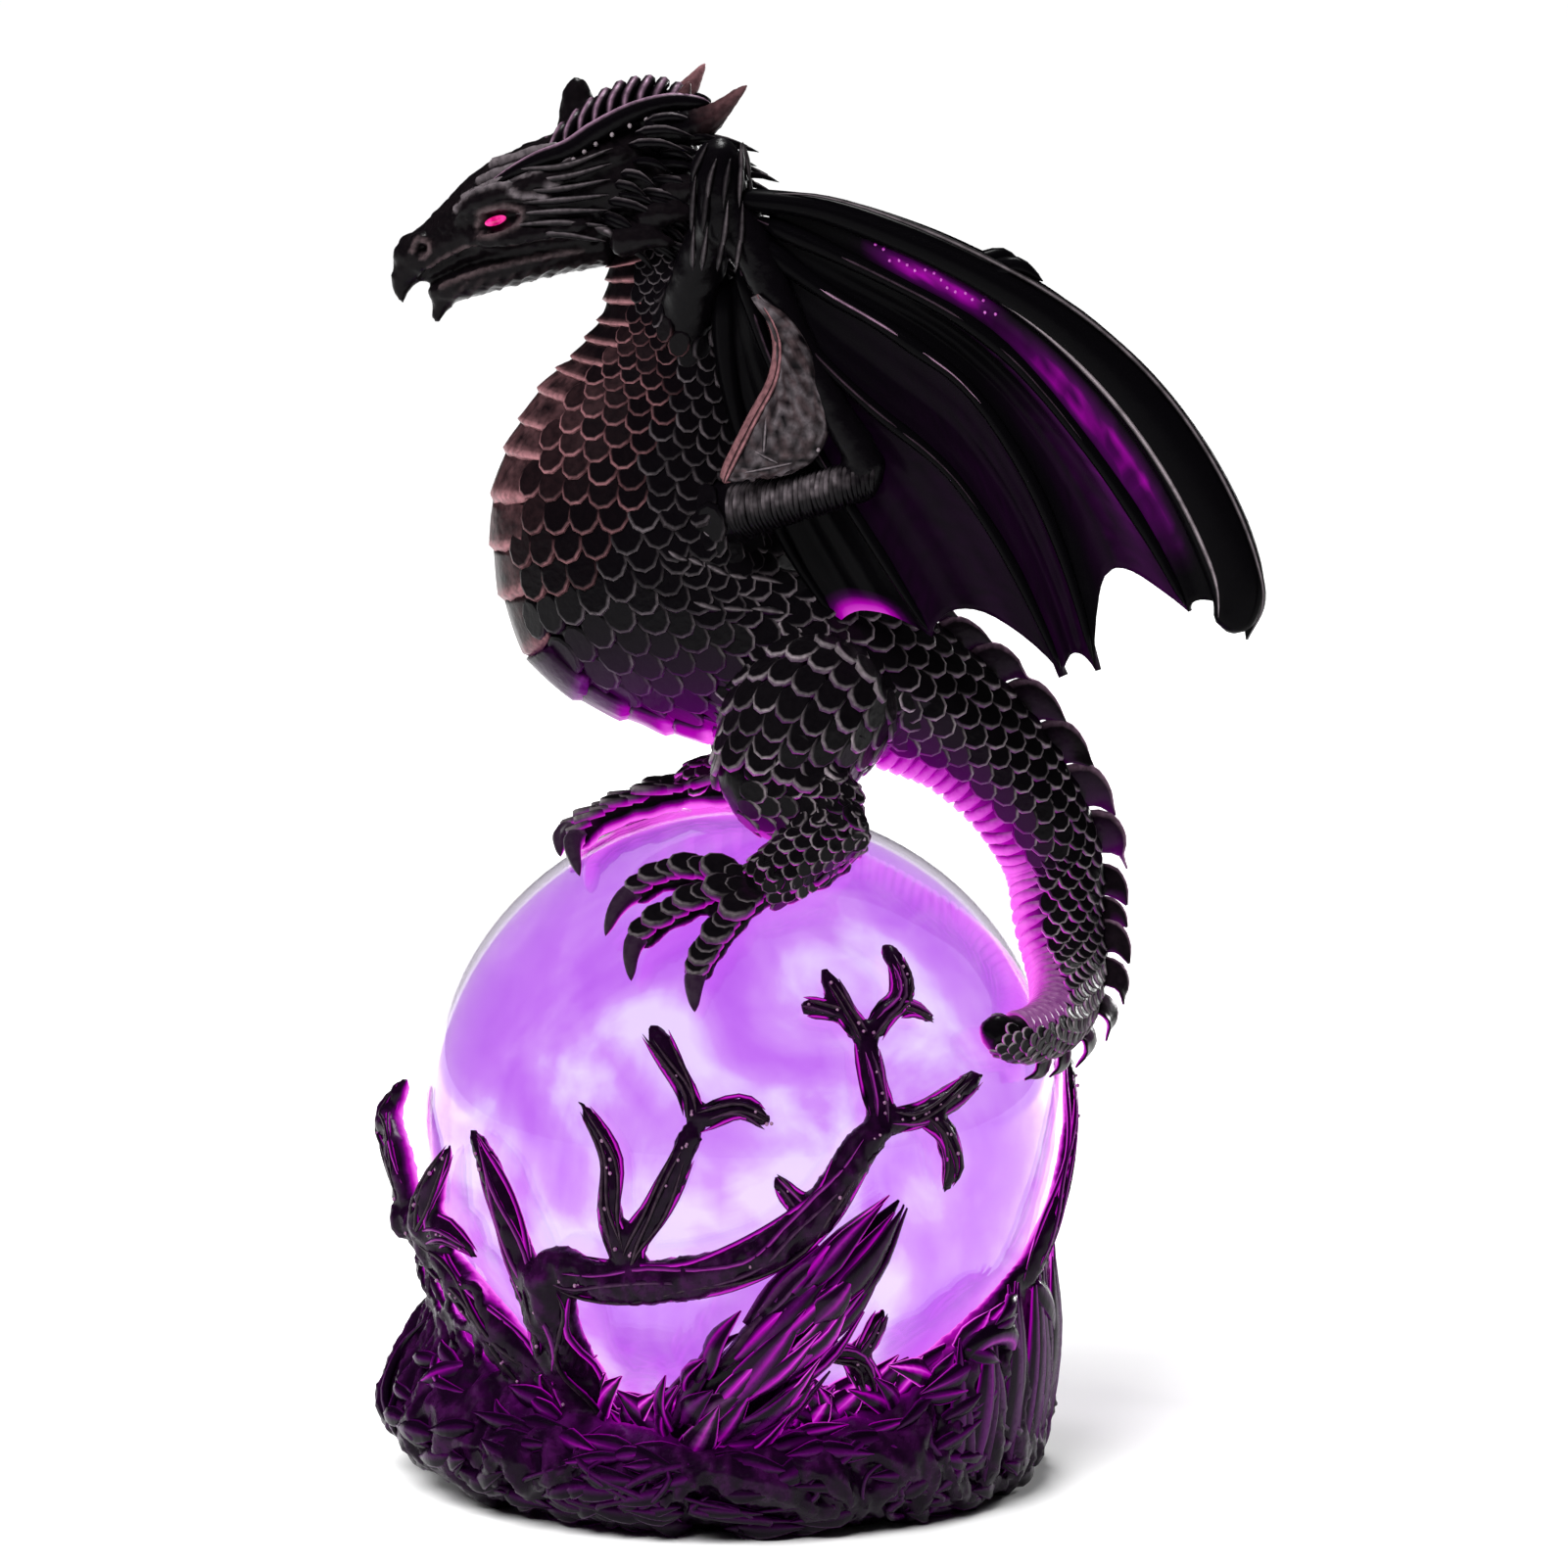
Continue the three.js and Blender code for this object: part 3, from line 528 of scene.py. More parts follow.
trunkLine = [  # x, y, z, half height, half width
    (-12.5, 0, 84, 7.5, 6), (-9.4, 0, 76.5, 8.8, 7.5), (-9.2, 0, 67.5, 9.4, 8.6),
    (-10.6, 0, 58.8, 13, 10.8),
    (-13, 0, 50.6, 17, 13.6), (-14.2, 0, 41.6, 20.2, 15.8), (-11.8, 0, 33, 21, 16.6),
    (-4.6, -0.5, 26.6, 16.2, 15.4),
    (4, -1, 23.4, 13.6, 13.8), (13.5, -1, 19.8, 12.2, 12.4), (22.5, -0.5, 15.4, 10, 10.2),
    (30.8, 0, 10, 8.3, 8.2), (38.2, 0, 1.8, 7.1, 7), (43, 1, -7.8, 6.3, 6.2),
]
tailLine = [  # azimuth, elevation, lift, radius
    (87, 34, 7.8, 5.71), (81, 26.5, 5.6, 4.93), (72, 22, 4.4, 4.08), (63, 20.5, 3.6, 3.57),
    (54, 21, 3.1, 3.13), (47.5, 24, 2.5, 2.24),
]
trunk = {
    "points": [figure(x, y, z) for x, y, z, _, _ in trunkLine] + [onGlobe(a, e, h) for a, e, h,
                                                                  _ in tailLine],
    "high": [row[3] for row in trunkLine] + [row[3] for row in tailLine],
    "wide": [row[4] for row in trunkLine] + [row[3] for row in tailLine],
    "scales": [1.8, 2.0, 2.4, 3.0, 3.6, 4.0, 4.1, 4.1, 4.1, 4.0, 3.8, 3.5, 3.2, 2.9, 2.6, 2.4, 2.2, 2.0,
               1.8, 1.5],
    "plateAngle": [66, 60, 54, 48, 44, 40, 32, 27, 32, 46, 56, 64, 70, 74, 76, 76, 76, 74, 62, 40],
    "plateSpan": (0.036, 0.42),
    "plates": 19,
    "plateLift": 0.75,
    "ribs": 44,
    "spikeSpan": (0.452, 0.9),
    "spikes": 17,
    "spikeHeight": 3.3,
    "scaleClear": 1.4,
    "voxel": 0.85,
    "glowFrom": 0.3,
    "ribSpan": (0.47, 0.94),
}


def onTrunk(t, angle, lift=0.0):  # angle 0 is the back and 180 the belly; negative angles are the left side
    centre, way = pathPoint(trunk["points"], t), pathWay(trunk["points"], t)
    side = (sideways - way * sideways.dot(way)).normalized()
    back = way.cross(side)
    a = math.radians(angle)
    centre += back * math.cos(a) * (along(trunk["high"], t) + lift)
    return centre + side * math.sin(a) * (along(trunk["wide"], t) + lift)


legs = {
    "left": {
        "joints": [(14, -7, 19.6), (6.6, -15.5, 11.8), (3.4, -19.6, 5.8), (16.2, -22.4, 2.2)],
        "radii": [11, 10.2, 6.4, 4.4],
        "sole": (2, 52),
        "toes": [
            [(3, 53), (-10, 56.2), (-21, 55.6), (-29, 51), (-33, 43)],
            [(3, 52), (-8, 51), (-16, 47.6), (-23, 42), (-23, 35)],
            [(4, 52), (-3, 46), (-7, 40.5), (-9, 36), (-9, 30)],
            [(3, 52), (14, 53.5), (25, 56.5), (35, 59.5), (44, 60.5)],
        ],
    },
    "right": {
        "joints": [(12, 6, 18), (5, 11.5, 11), (1, 13.5, 6.6), (11.6, 11.4, 4.4)],
        "radii": [10.4, 8.6, 6, 3.9],
        "sole": (-98, 78),
        "toes": [
            [(-98, 80), (-115, 73), (-108, 65.5), (-98, 59.5), (-82, 56.5)],
            [(-92, 80), (-87, 73), (-88, 66.5), (-76, 60.5), (-56, 54.5)],
            [(-105, 80), (-138, 71), (-142, 65), (-139, 59), (-128, 54)],
            [(-98, 80), (-60, 86), (70, 82), (83, 76), (86, 69)],
        ],
    },
}
toe = {
    "radius": 2.2,
    "shape": [1.25, 0.92, 1.18, 0.86, 1.12, 0.82, 1.05, 0.74],
    "clawFrom": 0.76,
    "scutes": 7,
    "shinRadii": [4.4, 3.6, 3.5],
}


def toePath(path, radius):
    lift = statue["seatGap"] + statue["flatness"] * radius
    return [onGlobe(a, e, lift) for a, e in path]


def legJoints(leg):
    return [figure(*p) for p in leg["joints"]]


def shinOf(leg):
    ankle = legJoints(leg)[3]
    return [ankle, ankle.lerp(onGlobe(*leg["sole"], 4), 0.5), onGlobe(*leg["sole"], 2.4)]


def hindLeg(bm, leg):
    joints, radii = legJoints(leg), leg["radii"]
    limb(bm, joints[:3], radii[:3], sides=16, rings=14, blunt=0.25)
    limb(bm, joints[1:], radii[1:], sides=14, rings=14, blunt=0.2)
    limb(bm, shinOf(leg), toe["shinRadii"], sides=12, rings=8, facing=fromGlobe)
    for path in leg["toes"]:
        points = toePath(path, toe["radius"])
        points = [pathPoint(points, s * toe["clawFrom"] * 1.06 / 6) for s in range(7)]
        radii = [share * toe["radius"] for share in toe["shape"]]
        limb(bm, points, radii, [statue["flatness"] * r for r in radii], sides=10, rings=22,
             facing=fromGlobe)


wing = {
    "fingers": [
        [(-2.4, 85.2), (9.5, 85.4), (21, 82.3), (33, 77.2), (44.5, 70.6), (55, 61.2), (62.8, 50),
         (67.6, 39), (68.6, 32.6), (66.4, 27.8)],
        [(-0.6, 83), (17, 75.4), (33, 66.6), (45, 53.6), (54, 40.6), (59, 31.2)],
        [(-0.2, 81), (9.5, 73.4), (18.3, 68.4), (24.4, 64.4), (30.1, 60), (38, 48.6), (43.5, 35.6),
         (47, 22.8)], [(-0.6, 79), (8, 66), (18, 56.6), (27, 49.4), (34, 40), (39, 30.6), (42.8, 22)],
        [(-1, 77.4), (4, 62.6), (11, 49.2), (19, 36.6), (25.4, 26.4)],
        [(-2.5, 76), (-2, 61.6), (1, 49.2), (6, 37.6), (13, 26.6)],
    ],
    "rootDepths": [16, 16, 16, 16, 15, 11],
    "scallops": [0.07, 0.14, 0.035, 0.13, 0.06],
    "spread": 0.34,
    "farDrop": 2.2,
    "hollow": 1.7,
    "thickness": 1.0,
    "bandShare": 0.27,
    "bandDepth": 2.0,
    "start": 0.05,
    "upperArm": [(-6, 9, 40.5), (5, 16.6, 43.8), (18.6, 21.5, 47.6)],
    "upperArmRadii": [5, 3.4, 2.7],
}


def wingFingers(side):
    drop = wing["farDrop"] if side > 0 else 0
    made = []
    for i, path in enumerate(wing["fingers"]):
        slope = wing["spread"] if i < 5 else 0.1
        made.append([figure(x, side * (wing["rootDepths"][i] + slope * (x + 2)), z - drop) for x,
                     z in path])
    return made


def wingSpar(side, points):
    drop = wing["farDrop"] if side > 0 else 0
    return [figure(x, side * y, z - drop) for x, y, z in points]


def wingArm(bm, side):
    limb(bm, wingSpar(side, wing["upperArm"]), wing["upperArmRadii"], sides=12, rings=16)
    limb(bm, wingSpar(side, [(18.4, 21.5, 46.6), (9.4, 19.8, 62), (-1.6, 16.4, 84)]), [2.7, 2.3, 3.4],
         sides=10, rings=18)
    limb(bm, wingSpar(side, [(-2, 16.2, 77), (-3.2, 16, 88), (-2.8, 15.6, 93)]), [4.6, 4.0, 2.6],
         sides=12, rings=10, blunt=0.3)
    limb(bm, wingSpar(side, [(-9, 4, 62), (-6, 11, 74), (-3, 15.6, 83)]), [5, 3.8, 3], sides=10, rings=10)


def bodyCore():
    bm = newShape()
    limb(bm, trunk["points"], trunk["high"], trunk["wide"], sides=28, rings=70, blunt=0.02)
    for leg in legs.values():
        hindLeg(bm, leg)
    for side in (-1, 1):
        wingArm(bm, side)
    return fused([meshFrom(bm, "draft")], "bodyCore", trunk["voxel"], 5)


head = {
    "voxel": 0.5,
    "skull": [(-5, 0, 87), (-10, 0, 87), (-18, 0, 85.8), (-25.5, 0, 83.8), (-33, 0, 81.7), (-38.5, 0, 79.2),
              (-42, 0, 76.9), (-45.2, 0, 75.4), (-47.2, 0, 74)],
    "skullHigh": [5, 8.6, 9, 8.5, 7.1, 4.7, 3.6, 3.4, 1.8],
    "skullWide": [5, 7.4, 8.7, 8.6, 7.1, 4.8, 3.6, 3.0, 1.5],
    "jaw": [(-17, 0, 79.5), (-26, 0, 76.7), (-34, 0, 73.8), (-40, 0, 71.6), (-43, 0, 70.6)],
    "jawHigh": [4.6, 3.4, 2.5, 2, 1.1],
    "jawWide": [6.4, 5.8, 4.3, 3, 1.6],
    "eye": (-33.5, 7.0, 81.1),
}


def points3(side, rows):
    return [figure(x, side * y, z) for x, y, z in rows]


def headCore():
    bm = newShape()
    limb(bm, points3(1, head["skull"]), head["skullHigh"], head["skullWide"], sides=20, rings=30)
    limb(bm, points3(1, head["jaw"]), head["jawHigh"], head["jawWide"], sides=16, rings=18)
    limb(bm, points3(1, [(-44.4, 0, 75.4), (-46.4, 0, 73), (-46.7, 0, 69.4)]), [2.6, 1.9, 0.4], sides=10,
         rings=10)
    limb(bm, points3(1, [(-40.4, 0, 71.4), (-41.4, 0, 69), (-42.2, 0, 66.6)]), [2.2, 1.3, 0.3], sides=8,
         rings=8)
    crestPoints = [(-27, 0, 88), (-22, 0, 91.6), (-17, 0, 94.2), (-12, 0, 95), (-8, 0, 93)]
    limb(bm, points3(1, crestPoints), [2, 3.6, 4.6, 4.2, 2.4], [2.4, 4.4, 5, 4.6, 3], sides=14, rings=14)
    for x, z in ((-34.9, 88.4), (-29.8, 91.4)):
        limb(bm, points3(1, [(x + 1.4, 0, z - 4.4), (x, 0, z)]), [2.2, 0.7], sides=8, rings=6)
    limb(bm, points3(1, [(-22.4, 2.5, 90), (-22.6, 3, 96), (-22.8, 3, 100.2)]), [3.6, 2.5, 1.5], sides=10,
         rings=10, blunt=0.2)
    for side in (-1, 1):
        limb(bm, points3(side, [(-39.5, 3.2, 80.2), (-36, 5.8, 83.4), (-30, 7, 85.4), (-22, 7.6, 88.4),
                                (-14, 7, 91)]),
             [0.9, 1.5, 1.5, 1.4, 1.2], sides=8, rings=16)
        limb(bm, points3(side, [(-38, 4.2, 78.2), (-33, 6.5, 78.4), (-27, 7.8, 79.6), (-20, 8.4, 81)]),
             [0.8, 1.2, 1.3, 1.4], sides=8, rings=14)
        limb(bm, points3(side, [(-45.6, 1.6, 77.6), (-43.6, 2.6, 78.4), (-41, 2.8, 78.6)]),
             [0.9, 1.2, 0.7], sides=8, rings=8)
        for k in range(3):
            low = (-18 + 3.4 * k, 7 - 0.3 * k, 78 + 3.4 * k)
            tip = (low[0] + 9.4, 9.6 - 0.4 * k, low[2] + 0.3 * k)
            mid = (low[0] + 5, 8.9 - 0.3 * k, low[2] + 0.9)
            limb(bm, points3(side, [low, mid, tip]), [2.8, 1.7, 0.4], sides=8, rings=8)
    return fused([meshFrom(bm, "draft")], "headCore", head["voxel"], 3)


def carveHead(bm):
    finder, tree = finderOf(bm)
    for side in (-1, 1):
        def mark(rows, width, depth, colour=None, amount=0.0):
            carve(bm, finder, tree, points3(side, rows), width, depth, colour, amount)

        x, y, z = head["eye"]
        mark([(x - 2.4, y, z - 0.8), (x, y, z), (x + 2.2, y, z + 0.7)], 2.2, -1.3)  # socket
        # upper lid
        mark([(-36.6, 7, 80.2), (-35, 7, 82.2), (-32.4, 7, 83.1), (-29.8, 7, 82.4)], 0.8, 0.75, "bronze",
             0.5)
        mark([(-36.4, 7, 79.6), (-33.6, 7, 79.1), (-31, 7, 80), (-29.6, 7, 81.8)], 0.7, 0.6, "bronze", 0.4)
        for k, rows in enumerate((
            [(-38.6, 4, 82.3), (-35.4, 6, 84.3), (-31, 7, 85.1), (-26.6, 7.4, 84.2)],
            [(-37.8, 4, 84), (-34.2, 5.6, 86.2), (-29.4, 6.6, 87), (-25.2, 7.2, 86.2)],
            [(-35.6, 3.6, 86.2), (-31.6, 5, 88.2), (-27, 5.8, 88.6), (-23, 6.4, 87.8)],
            [(-33.6, 2, 87.8), (-29.6, 3.4, 90), (-25.2, 4.4, 90.4)],
        )):
            mark(rows, 0.85, 0.6, "silver", 0.4)
            mark([(a, b, c - 0.95) for a, b, c in rows], 0.6, -0.45)
        mark([(-43.6, 2, 72.6), (-42.4, 3, 73.4), (-37.6, 5, 75.8), (-30.4, 7, 77), (-21.7, 8, 77.8),
              (-18.7, 8, 78.1)], 0.75, -1.0)
        # upper lip
        mark([(-42.6, 3, 74.5), (-37.6, 5, 76.9), (-30.4, 7, 78.1), (-22, 8, 78.9)], 0.6, 0.4, "bronze",
             0.5)
        mark([(-41.6, 3, 72.2), (-37, 4.4, 74.3), (-30, 6, 75.7), (-22, 7, 76.6)], 0.6, 0.4, "bronze", 0.4)
        mark([(-43.9, 3, 77.1), (-43.6, 3, 77.2)], 0.9, -1.2)  # nostril
        mark([(-45, 3, 76.8), (-44.2, 3, 78.3), (-42.8, 3, 78), (-42.6, 3, 76.7), (-43.6, 3, 76)], 0.55,
             0.45, "bronze", 0.5)
        for k in range(9):  # corrugated jaw
            s = k / 8
            a, c = between(-39, -21, s), between(70.6, 73.4, s)
            mark([(a - 0.6, 1, c - 2), (a, 3.4, c - 0.6), (a + 1.1, 5, c + 1.4)], 0.55, 0.22, "bronze",
                 0.12)
        for k in range(5):  # creases of the cheek
            a = -28 + 2.6 * k
            mark([(a, 8, 80.4 + 0.5 * k), (a + 2.6, 8.4, 79.6 + 0.5 * k), (a + 4, 8.4, 78.4 + 0.6 * k)],
                 0.5, -0.4)
        for k in range(6):  # creases on the snout
            a = -42.6 + 1.25 * k
            mark([(a, 1, 82 + 0.2 * k), (a - 0.5, 3.4, 79.8 + 0.3 * k), (a + 0.4, 4.2, 78.4 + 0.3 * k)],
                 0.42, -0.35)
    brush = brushFor(bm)
    for v in bm.verts:
        v.co += v.normal * noise.noise(v.co * 0.9) * 0.22
        brush(v, "bronze", 0.012, over=False)


def awayFromHead(place):
    return (place - figure(-18, 0, 82)).normalized()


def headTrim():
    heap = Heap()
    for side in (-1, 1):
        # the brow ridge, with a painted pink highlight along its top
        ridge = points3(side, [(-36, 4.2, 84.4), (-31, 6.0, 87.6), (-27.6, 6.4, 89.2), (-23.6, 6.5, 90.6),
                               (-20, 6.2, 93.0), (-14.5, 5.6, 95.8), (-9.3, 5.3, 97.0), (-4.4, 5.8, 96.8)])
        stroke(heap.room(), ridge, [0.5, 1.0, 1.4, 1.6, 1.6, 1.5, 1.4, 0.9], "pink", 0.8, sides=10,
               rings=40, crown=True, facing=Vector((0, side * 0.25, 1)))
        for k in range(12):  # beads under the ridge
            spot = pathPoint(ridge, 0.27 + 0.06 * k) + Vector((0.2, side * 1.35, -1.5))
            addBead(heap, spot, 0.36, "silver", 0.9)
        # the mane's strands carry painted highlights along their tops
        for k in range(54):  # feathery mane behind the cheek
            s, row = (k % 11) / 10, k // 11
            x = between(-20, -13.5, s) + 3.0 * row + chance.uniform(-0.8, 0.8)
            z = between(79.6, 94, s) - 1.6 * row + chance.uniform(-0.9, 0.9)
            start = Vector((x, side * (8.0 - 0.55 * row - 1.6 * abs(s - 0.5)), z))
            sweep = Vector((chance.uniform(4.5, 8.5), side * chance.uniform(0.2, 1.5),
                            between(-4.2, -0.2, s)))
            middle = start + sweep * 0.5 + Vector((0, side * 0.9, 0.8))
            line = [figure(*p) for p in (start, middle, start + sweep)]
            stroke(heap.room(), line, [0.75, 0.62, 0.12], "silver", 0.55 * chance.random(), crown=True,
                   facing=upwards)
        # the folds carry painted highlights along their tops
        for k in range(7):  # folds that sweep back from the eye
            s = k / 6
            line = [(-31 + s, 7.2, 79 + 1.9 * k * 0.8), (-25 + s, 8.8, 79.4 + 1.7 * k * 0.9),
                    (-18.5 + s, 8.8, 78.4 + 2.1 * k)]
            stroke(heap.room(), points3(side, line), [0.3, 0.6, 0.2], "silver", 0.3, rings=10, crown=True,
                   facing=Vector((0, side, 0.6)))
    # each band of the crest has a painted pink highlight along its top
    for k in range(10):  # banded crest
        s = k / 9
        x = between(-26.6, -9.2, s)
        top = 91.2 + 8.2 * math.sin(2.05 * s) + 0.3
        wide = 4.0 + 1.6 * math.sin(math.pi * s)
        foot = top - between(3.2, 5.2, s)
        line = [(x - 1.2, -wide - 0.6, foot), (x - 0.9, -wide * 0.86, top - 2.2),
                (x, -wide * 0.45, top - 0.4), (x + 0.3, 0, top),
                (x, wide * 0.45, top - 0.4), (x - 0.9, wide * 0.86, top - 2.2), (x - 1.2, wide + 0.6, foot)]
        stroke(heap.room(), points3(1, line), [0.5, 0.8, 0.9, 0.95, 0.9, 0.8, 0.5], "pink", 0.6, sides=8,
               rings=24, crown=True, facing=awayFromHead)
    horns = [
        ([(-13, -5.4, 92.6), (-5.4, -6.8, 94.4), (0.6, -8, 99.4)], [3.1, 2.2, 0.3], 0.25),
        ([(-14.6, 5, 93), (-8.8, 5.8, 97), (-5.2, 6.2, 101.9)], [3.1, 2.1, 0.3], 0.6),
        ([(-14, -3.6, 94), (-8.6, -4.6, 97), (-7.2, -5.2, 99.8)], [2.2, 1.5, 0.3], 0.2),
        ([(-12, 4.4, 92), (-4.6, 6.6, 94), (-0.8, 7.8, 98.4)], [2.6, 1.8, 0.3], 0.2),
    ]
    for line, radii, red in horns:
        rows = limb(heap.room(), points3(1, line), radii, sides=10, rings=30, facing=sideways,
                    swell=lambda t, turn: 0.14 * math.sin(t * 70) * (1 - t))
        for k, row in enumerate(rows):
            paint(heap.bm, row, "copper", red * ease(1.6 * k / len(rows) - 0.6))
    return heap.close()


def eyeball():
    bm = newShape()
    x, y, z = head["eye"]
    for side in (-1, 1):
        way = Vector((math.cos(0.3), -side * 0.22, math.sin(0.3))).normalized()
        out = Vector((-0.25, side, 0.05)).normalized()
        out = (out - way * out.dot(way)).normalized()
        spot = placed(figure(x, side * (y - 0.75), z), way * 1.55, out * 0.9, way.cross(out) * 0.62)
        bmesh.ops.create_uvsphere(bm, u_segments=20, v_segments=12, radius=1, matrix=spot)
    return [meshFrom(bm, "eyeball")]


def cover(bm, tree, place, centre, lay, size, edge, reach=1.9, turned=0.35, **look):
    # A scale on the fused skin, if the skin is near this place and faces away from centre
    spot, normal, _, _ = tree.find_nearest(place, reach)
    if spot is None or normal.dot((place - centre).normalized()) < turned:
        return
    if (spot - statue["globeMiddle"]).length < statue["globeRadius"] + trunk["scaleClear"]:
        return
    addScale(bm, spot, normal, lay, size, edge=min(edge * chance.uniform(0.25, 1.15), 1.0), **look)


def trunkScales(tree):
    heap = Heap()
    t, row = 0.02, 0
    while t < 0.975:
        size = along(trunk["scales"], t)
        speed = (pathPoint(trunk["points"], t + 0.003) - pathPoint(trunk["points"],
                                                                   t - 0.003)).length / 0.006
        span = 180 - along(trunk["plateAngle"], t)
        radius = (along(trunk["high"], t) + along(trunk["wide"], t)) / 2
        count = max(2, round(radius * math.radians(span) / (size * 0.92)))
        centre, way = pathPoint(trunk["points"], t), pathWay(trunk["points"], t)
        for side in (-1, 1):
            for k in range(count):
                share = (k + (0.5 if row % 2 else 1)) / count
                angle = side * span * share
                chest = ease((share - 0.5) / 0.5) * ease((t - 0.08) / 0.06) * (1 - ease((t - 0.25) / 0.07))
                rump = ease((t - 0.36) / 0.1)
                look = {"colour": "copper" if chest > 0.2 else "silver",
                        "edge": between(between(0.3, 0.75, rump), 1.0, chest),
                        "face": 0.05 * chest ** 4 * chance.uniform(0.0, 1.2) + 0.002}
                sidelong = (onTrunk(t, angle + side * 6) - onTrunk(t, angle)).normalized()
                lay = (way + sidelong * 0.12).normalized()
                cover(heap.room(), tree, onTrunk(t, angle, 0.2), centre, lay,
                      size * chance.uniform(0.97, 1.05), **look)
        t += size * scaleShape["rowStep"] / speed
        row += 1
    return heap.close()


def limbScales(tree, points, radii, size, span, **look):
    heap = Heap()
    length = sum((q - p).length for p, q in zip(points, points[1:]))
    rows = int(length * (span[1] - span[0]) / (size * scaleShape["rowStep"]))
    for row in range(rows):
        t = between(span[0], span[1], row / max(rows - 1, 1))
        centre, way = pathPoint(points, t), pathWay(points, t)
        side = (sideways - way * sideways.dot(way)).normalized()
        back = way.cross(side)
        radius = along(radii, t)
        count = max(5, round(2 * math.pi * radius / (size * 0.9)))
        for k in range(count):
            a = 2 * math.pi * (k + 0.5 * (row % 2)) / count
            out = side * math.sin(a) + back * math.cos(a)
            cover(heap.room(), tree, centre + out * radius, centre, way,
                  size * chance.uniform(0.97, 1.04), turned=0.1, edge=chance.uniform(0.4, 1.0), **look)
    return heap.close()


def bellyPlates():
    bm = newShape()
    low, high = trunk["plateSpan"]
    brush = brushFor(bm)
    for k in range(trunk["plates"]):
        start, end = (between(low, high, (k + s) / trunk["plates"]) for s in (-0.08, 1.0))
        half = along(trunk["plateAngle"], start) + 3
        edge = noise.noise(Vector((k * 3.1, 0, 0))) * 3

        def surface(u, v):
            x = 2 * u - 1
            crown = 1 - abs(x) ** 3.2
            tuck = 0.9 if v > 0.99 else 0
            lift = (0.25 + trunk["plateLift"] * v ** 1.4) * (0.3 + 0.7 * crown) - tuck * crown
            lift += 0.12 * math.sin(u * 37 + k) * v
            t = between(start, end, v) - 0.004 * (1 - crown) * v
            return onTrunk(t, 180 + x * (half + edge * v), lift)

        for v, (u, w) in sheet(bm, surface, 18, 7).items():
            copper = 1 - ease((start - 0.22) / 0.14)
            patch = 0.3 + 0.5 * noise.noise(v.co * 0.5)
            chest = ease((start - 0.12) / 0.06) * copper
            amount = ease((w - 0.66) / 0.28) * (0.3 + 0.7 * copper) + 0.3 * chest * patch
            # a painted glow from the globe, growing towards the tail and the plates' lower edges
            lit = ease((start - trunk["glowFrom"]) / 0.1) * (0.1 + 0.45 * ease((w - 0.6) / 0.35))
            brush(v, "copper" if copper > 0.4 else "plum", min(max(amount, 0.005), 1), lit)
    thicken(bm, 0.9)
    return [meshFrom(bm, "bellyPlates")]


def tailRibs():
    heap = Heap()
    for k in range(trunk["ribs"]):
        t = between(*trunk["ribSpan"], k / (trunk["ribs"] - 1))
        half = along(trunk["plateAngle"], t) + 6
        line = [onTrunk(t, 180 + x * half, 0.1 - 0.25 * abs(x)) for x in (-1, -0.5, 0, 0.5, 1)]
        size = between(1.05, 0.6, (t - 0.47) / 0.5)
        # the ribs are brushed pink as a painted highlight and given a painted glow from the globe
        stroke(heap.room(), line, [size * 0.5, size, size * 1.05, size, size * 0.5], "pink", 0.25, 0.3,
               sides=6, rings=13, facing=pathWay(trunk["points"], t))
    return heap.close()


def dorsalSpikes():
    heap = Heap()
    low, high = trunk["spikeSpan"]
    for k in range(trunk["spikes"]):
        s = k / (trunk["spikes"] - 1)
        t = between(low, high, s)
        step = (high - low) / (trunk["spikes"] - 1)
        tall = trunk["spikeHeight"] * (0.6 + 0.5 * math.sin(math.pi * min(0.12 + 0.78 * s, 1)))
        long = (onTrunk(t + step, 0) - onTrunk(t, 0)).length * 0.6
        line = [onTrunk(t, 0, -1.2), onTrunk(t + 0.06 * step, 0, tall * 0.3),
                onTrunk(t + 0.34 * step, 0, tall * 0.72), onTrunk(t + 0.8 * step, 0, tall)]
        way = pathWay(trunk["points"], t)
        rows = limb(heap.room(), line, [1.1, 0.6, 0.4, 0.16], [long, long * 0.9, long * 0.5, 0.2],
                    sides=16, rings=12, facing=way, blunt=0)
        brush = brushFor(heap.bm)
        for i, ring in enumerate(rows):  # the edge that faces up the back gets a painted highlight
            for j, v in enumerate(ring):
                brush(v, "pink", {8: 1.0, 7: 0.5, 9: 0.5}.get(j, 0.01) * ease(i / 3), 0.0)
    for k in range(30):  # small plates down the neck and between the wings
        t = between(0.015, 0.44, k / 29)
        size = between(2.2, 3.4, math.sin(math.pi * k / 29))
        out = (onTrunk(t, 0, 1) - onTrunk(t, 0, 0)).normalized()
        addScale(heap.room(), onTrunk(t, 0, 0.4), out, pathWay(trunk["points"], t), size, "silver", 0.4,
                 tilt=30, long=0.95, thick=0.3)
    return heap.close()


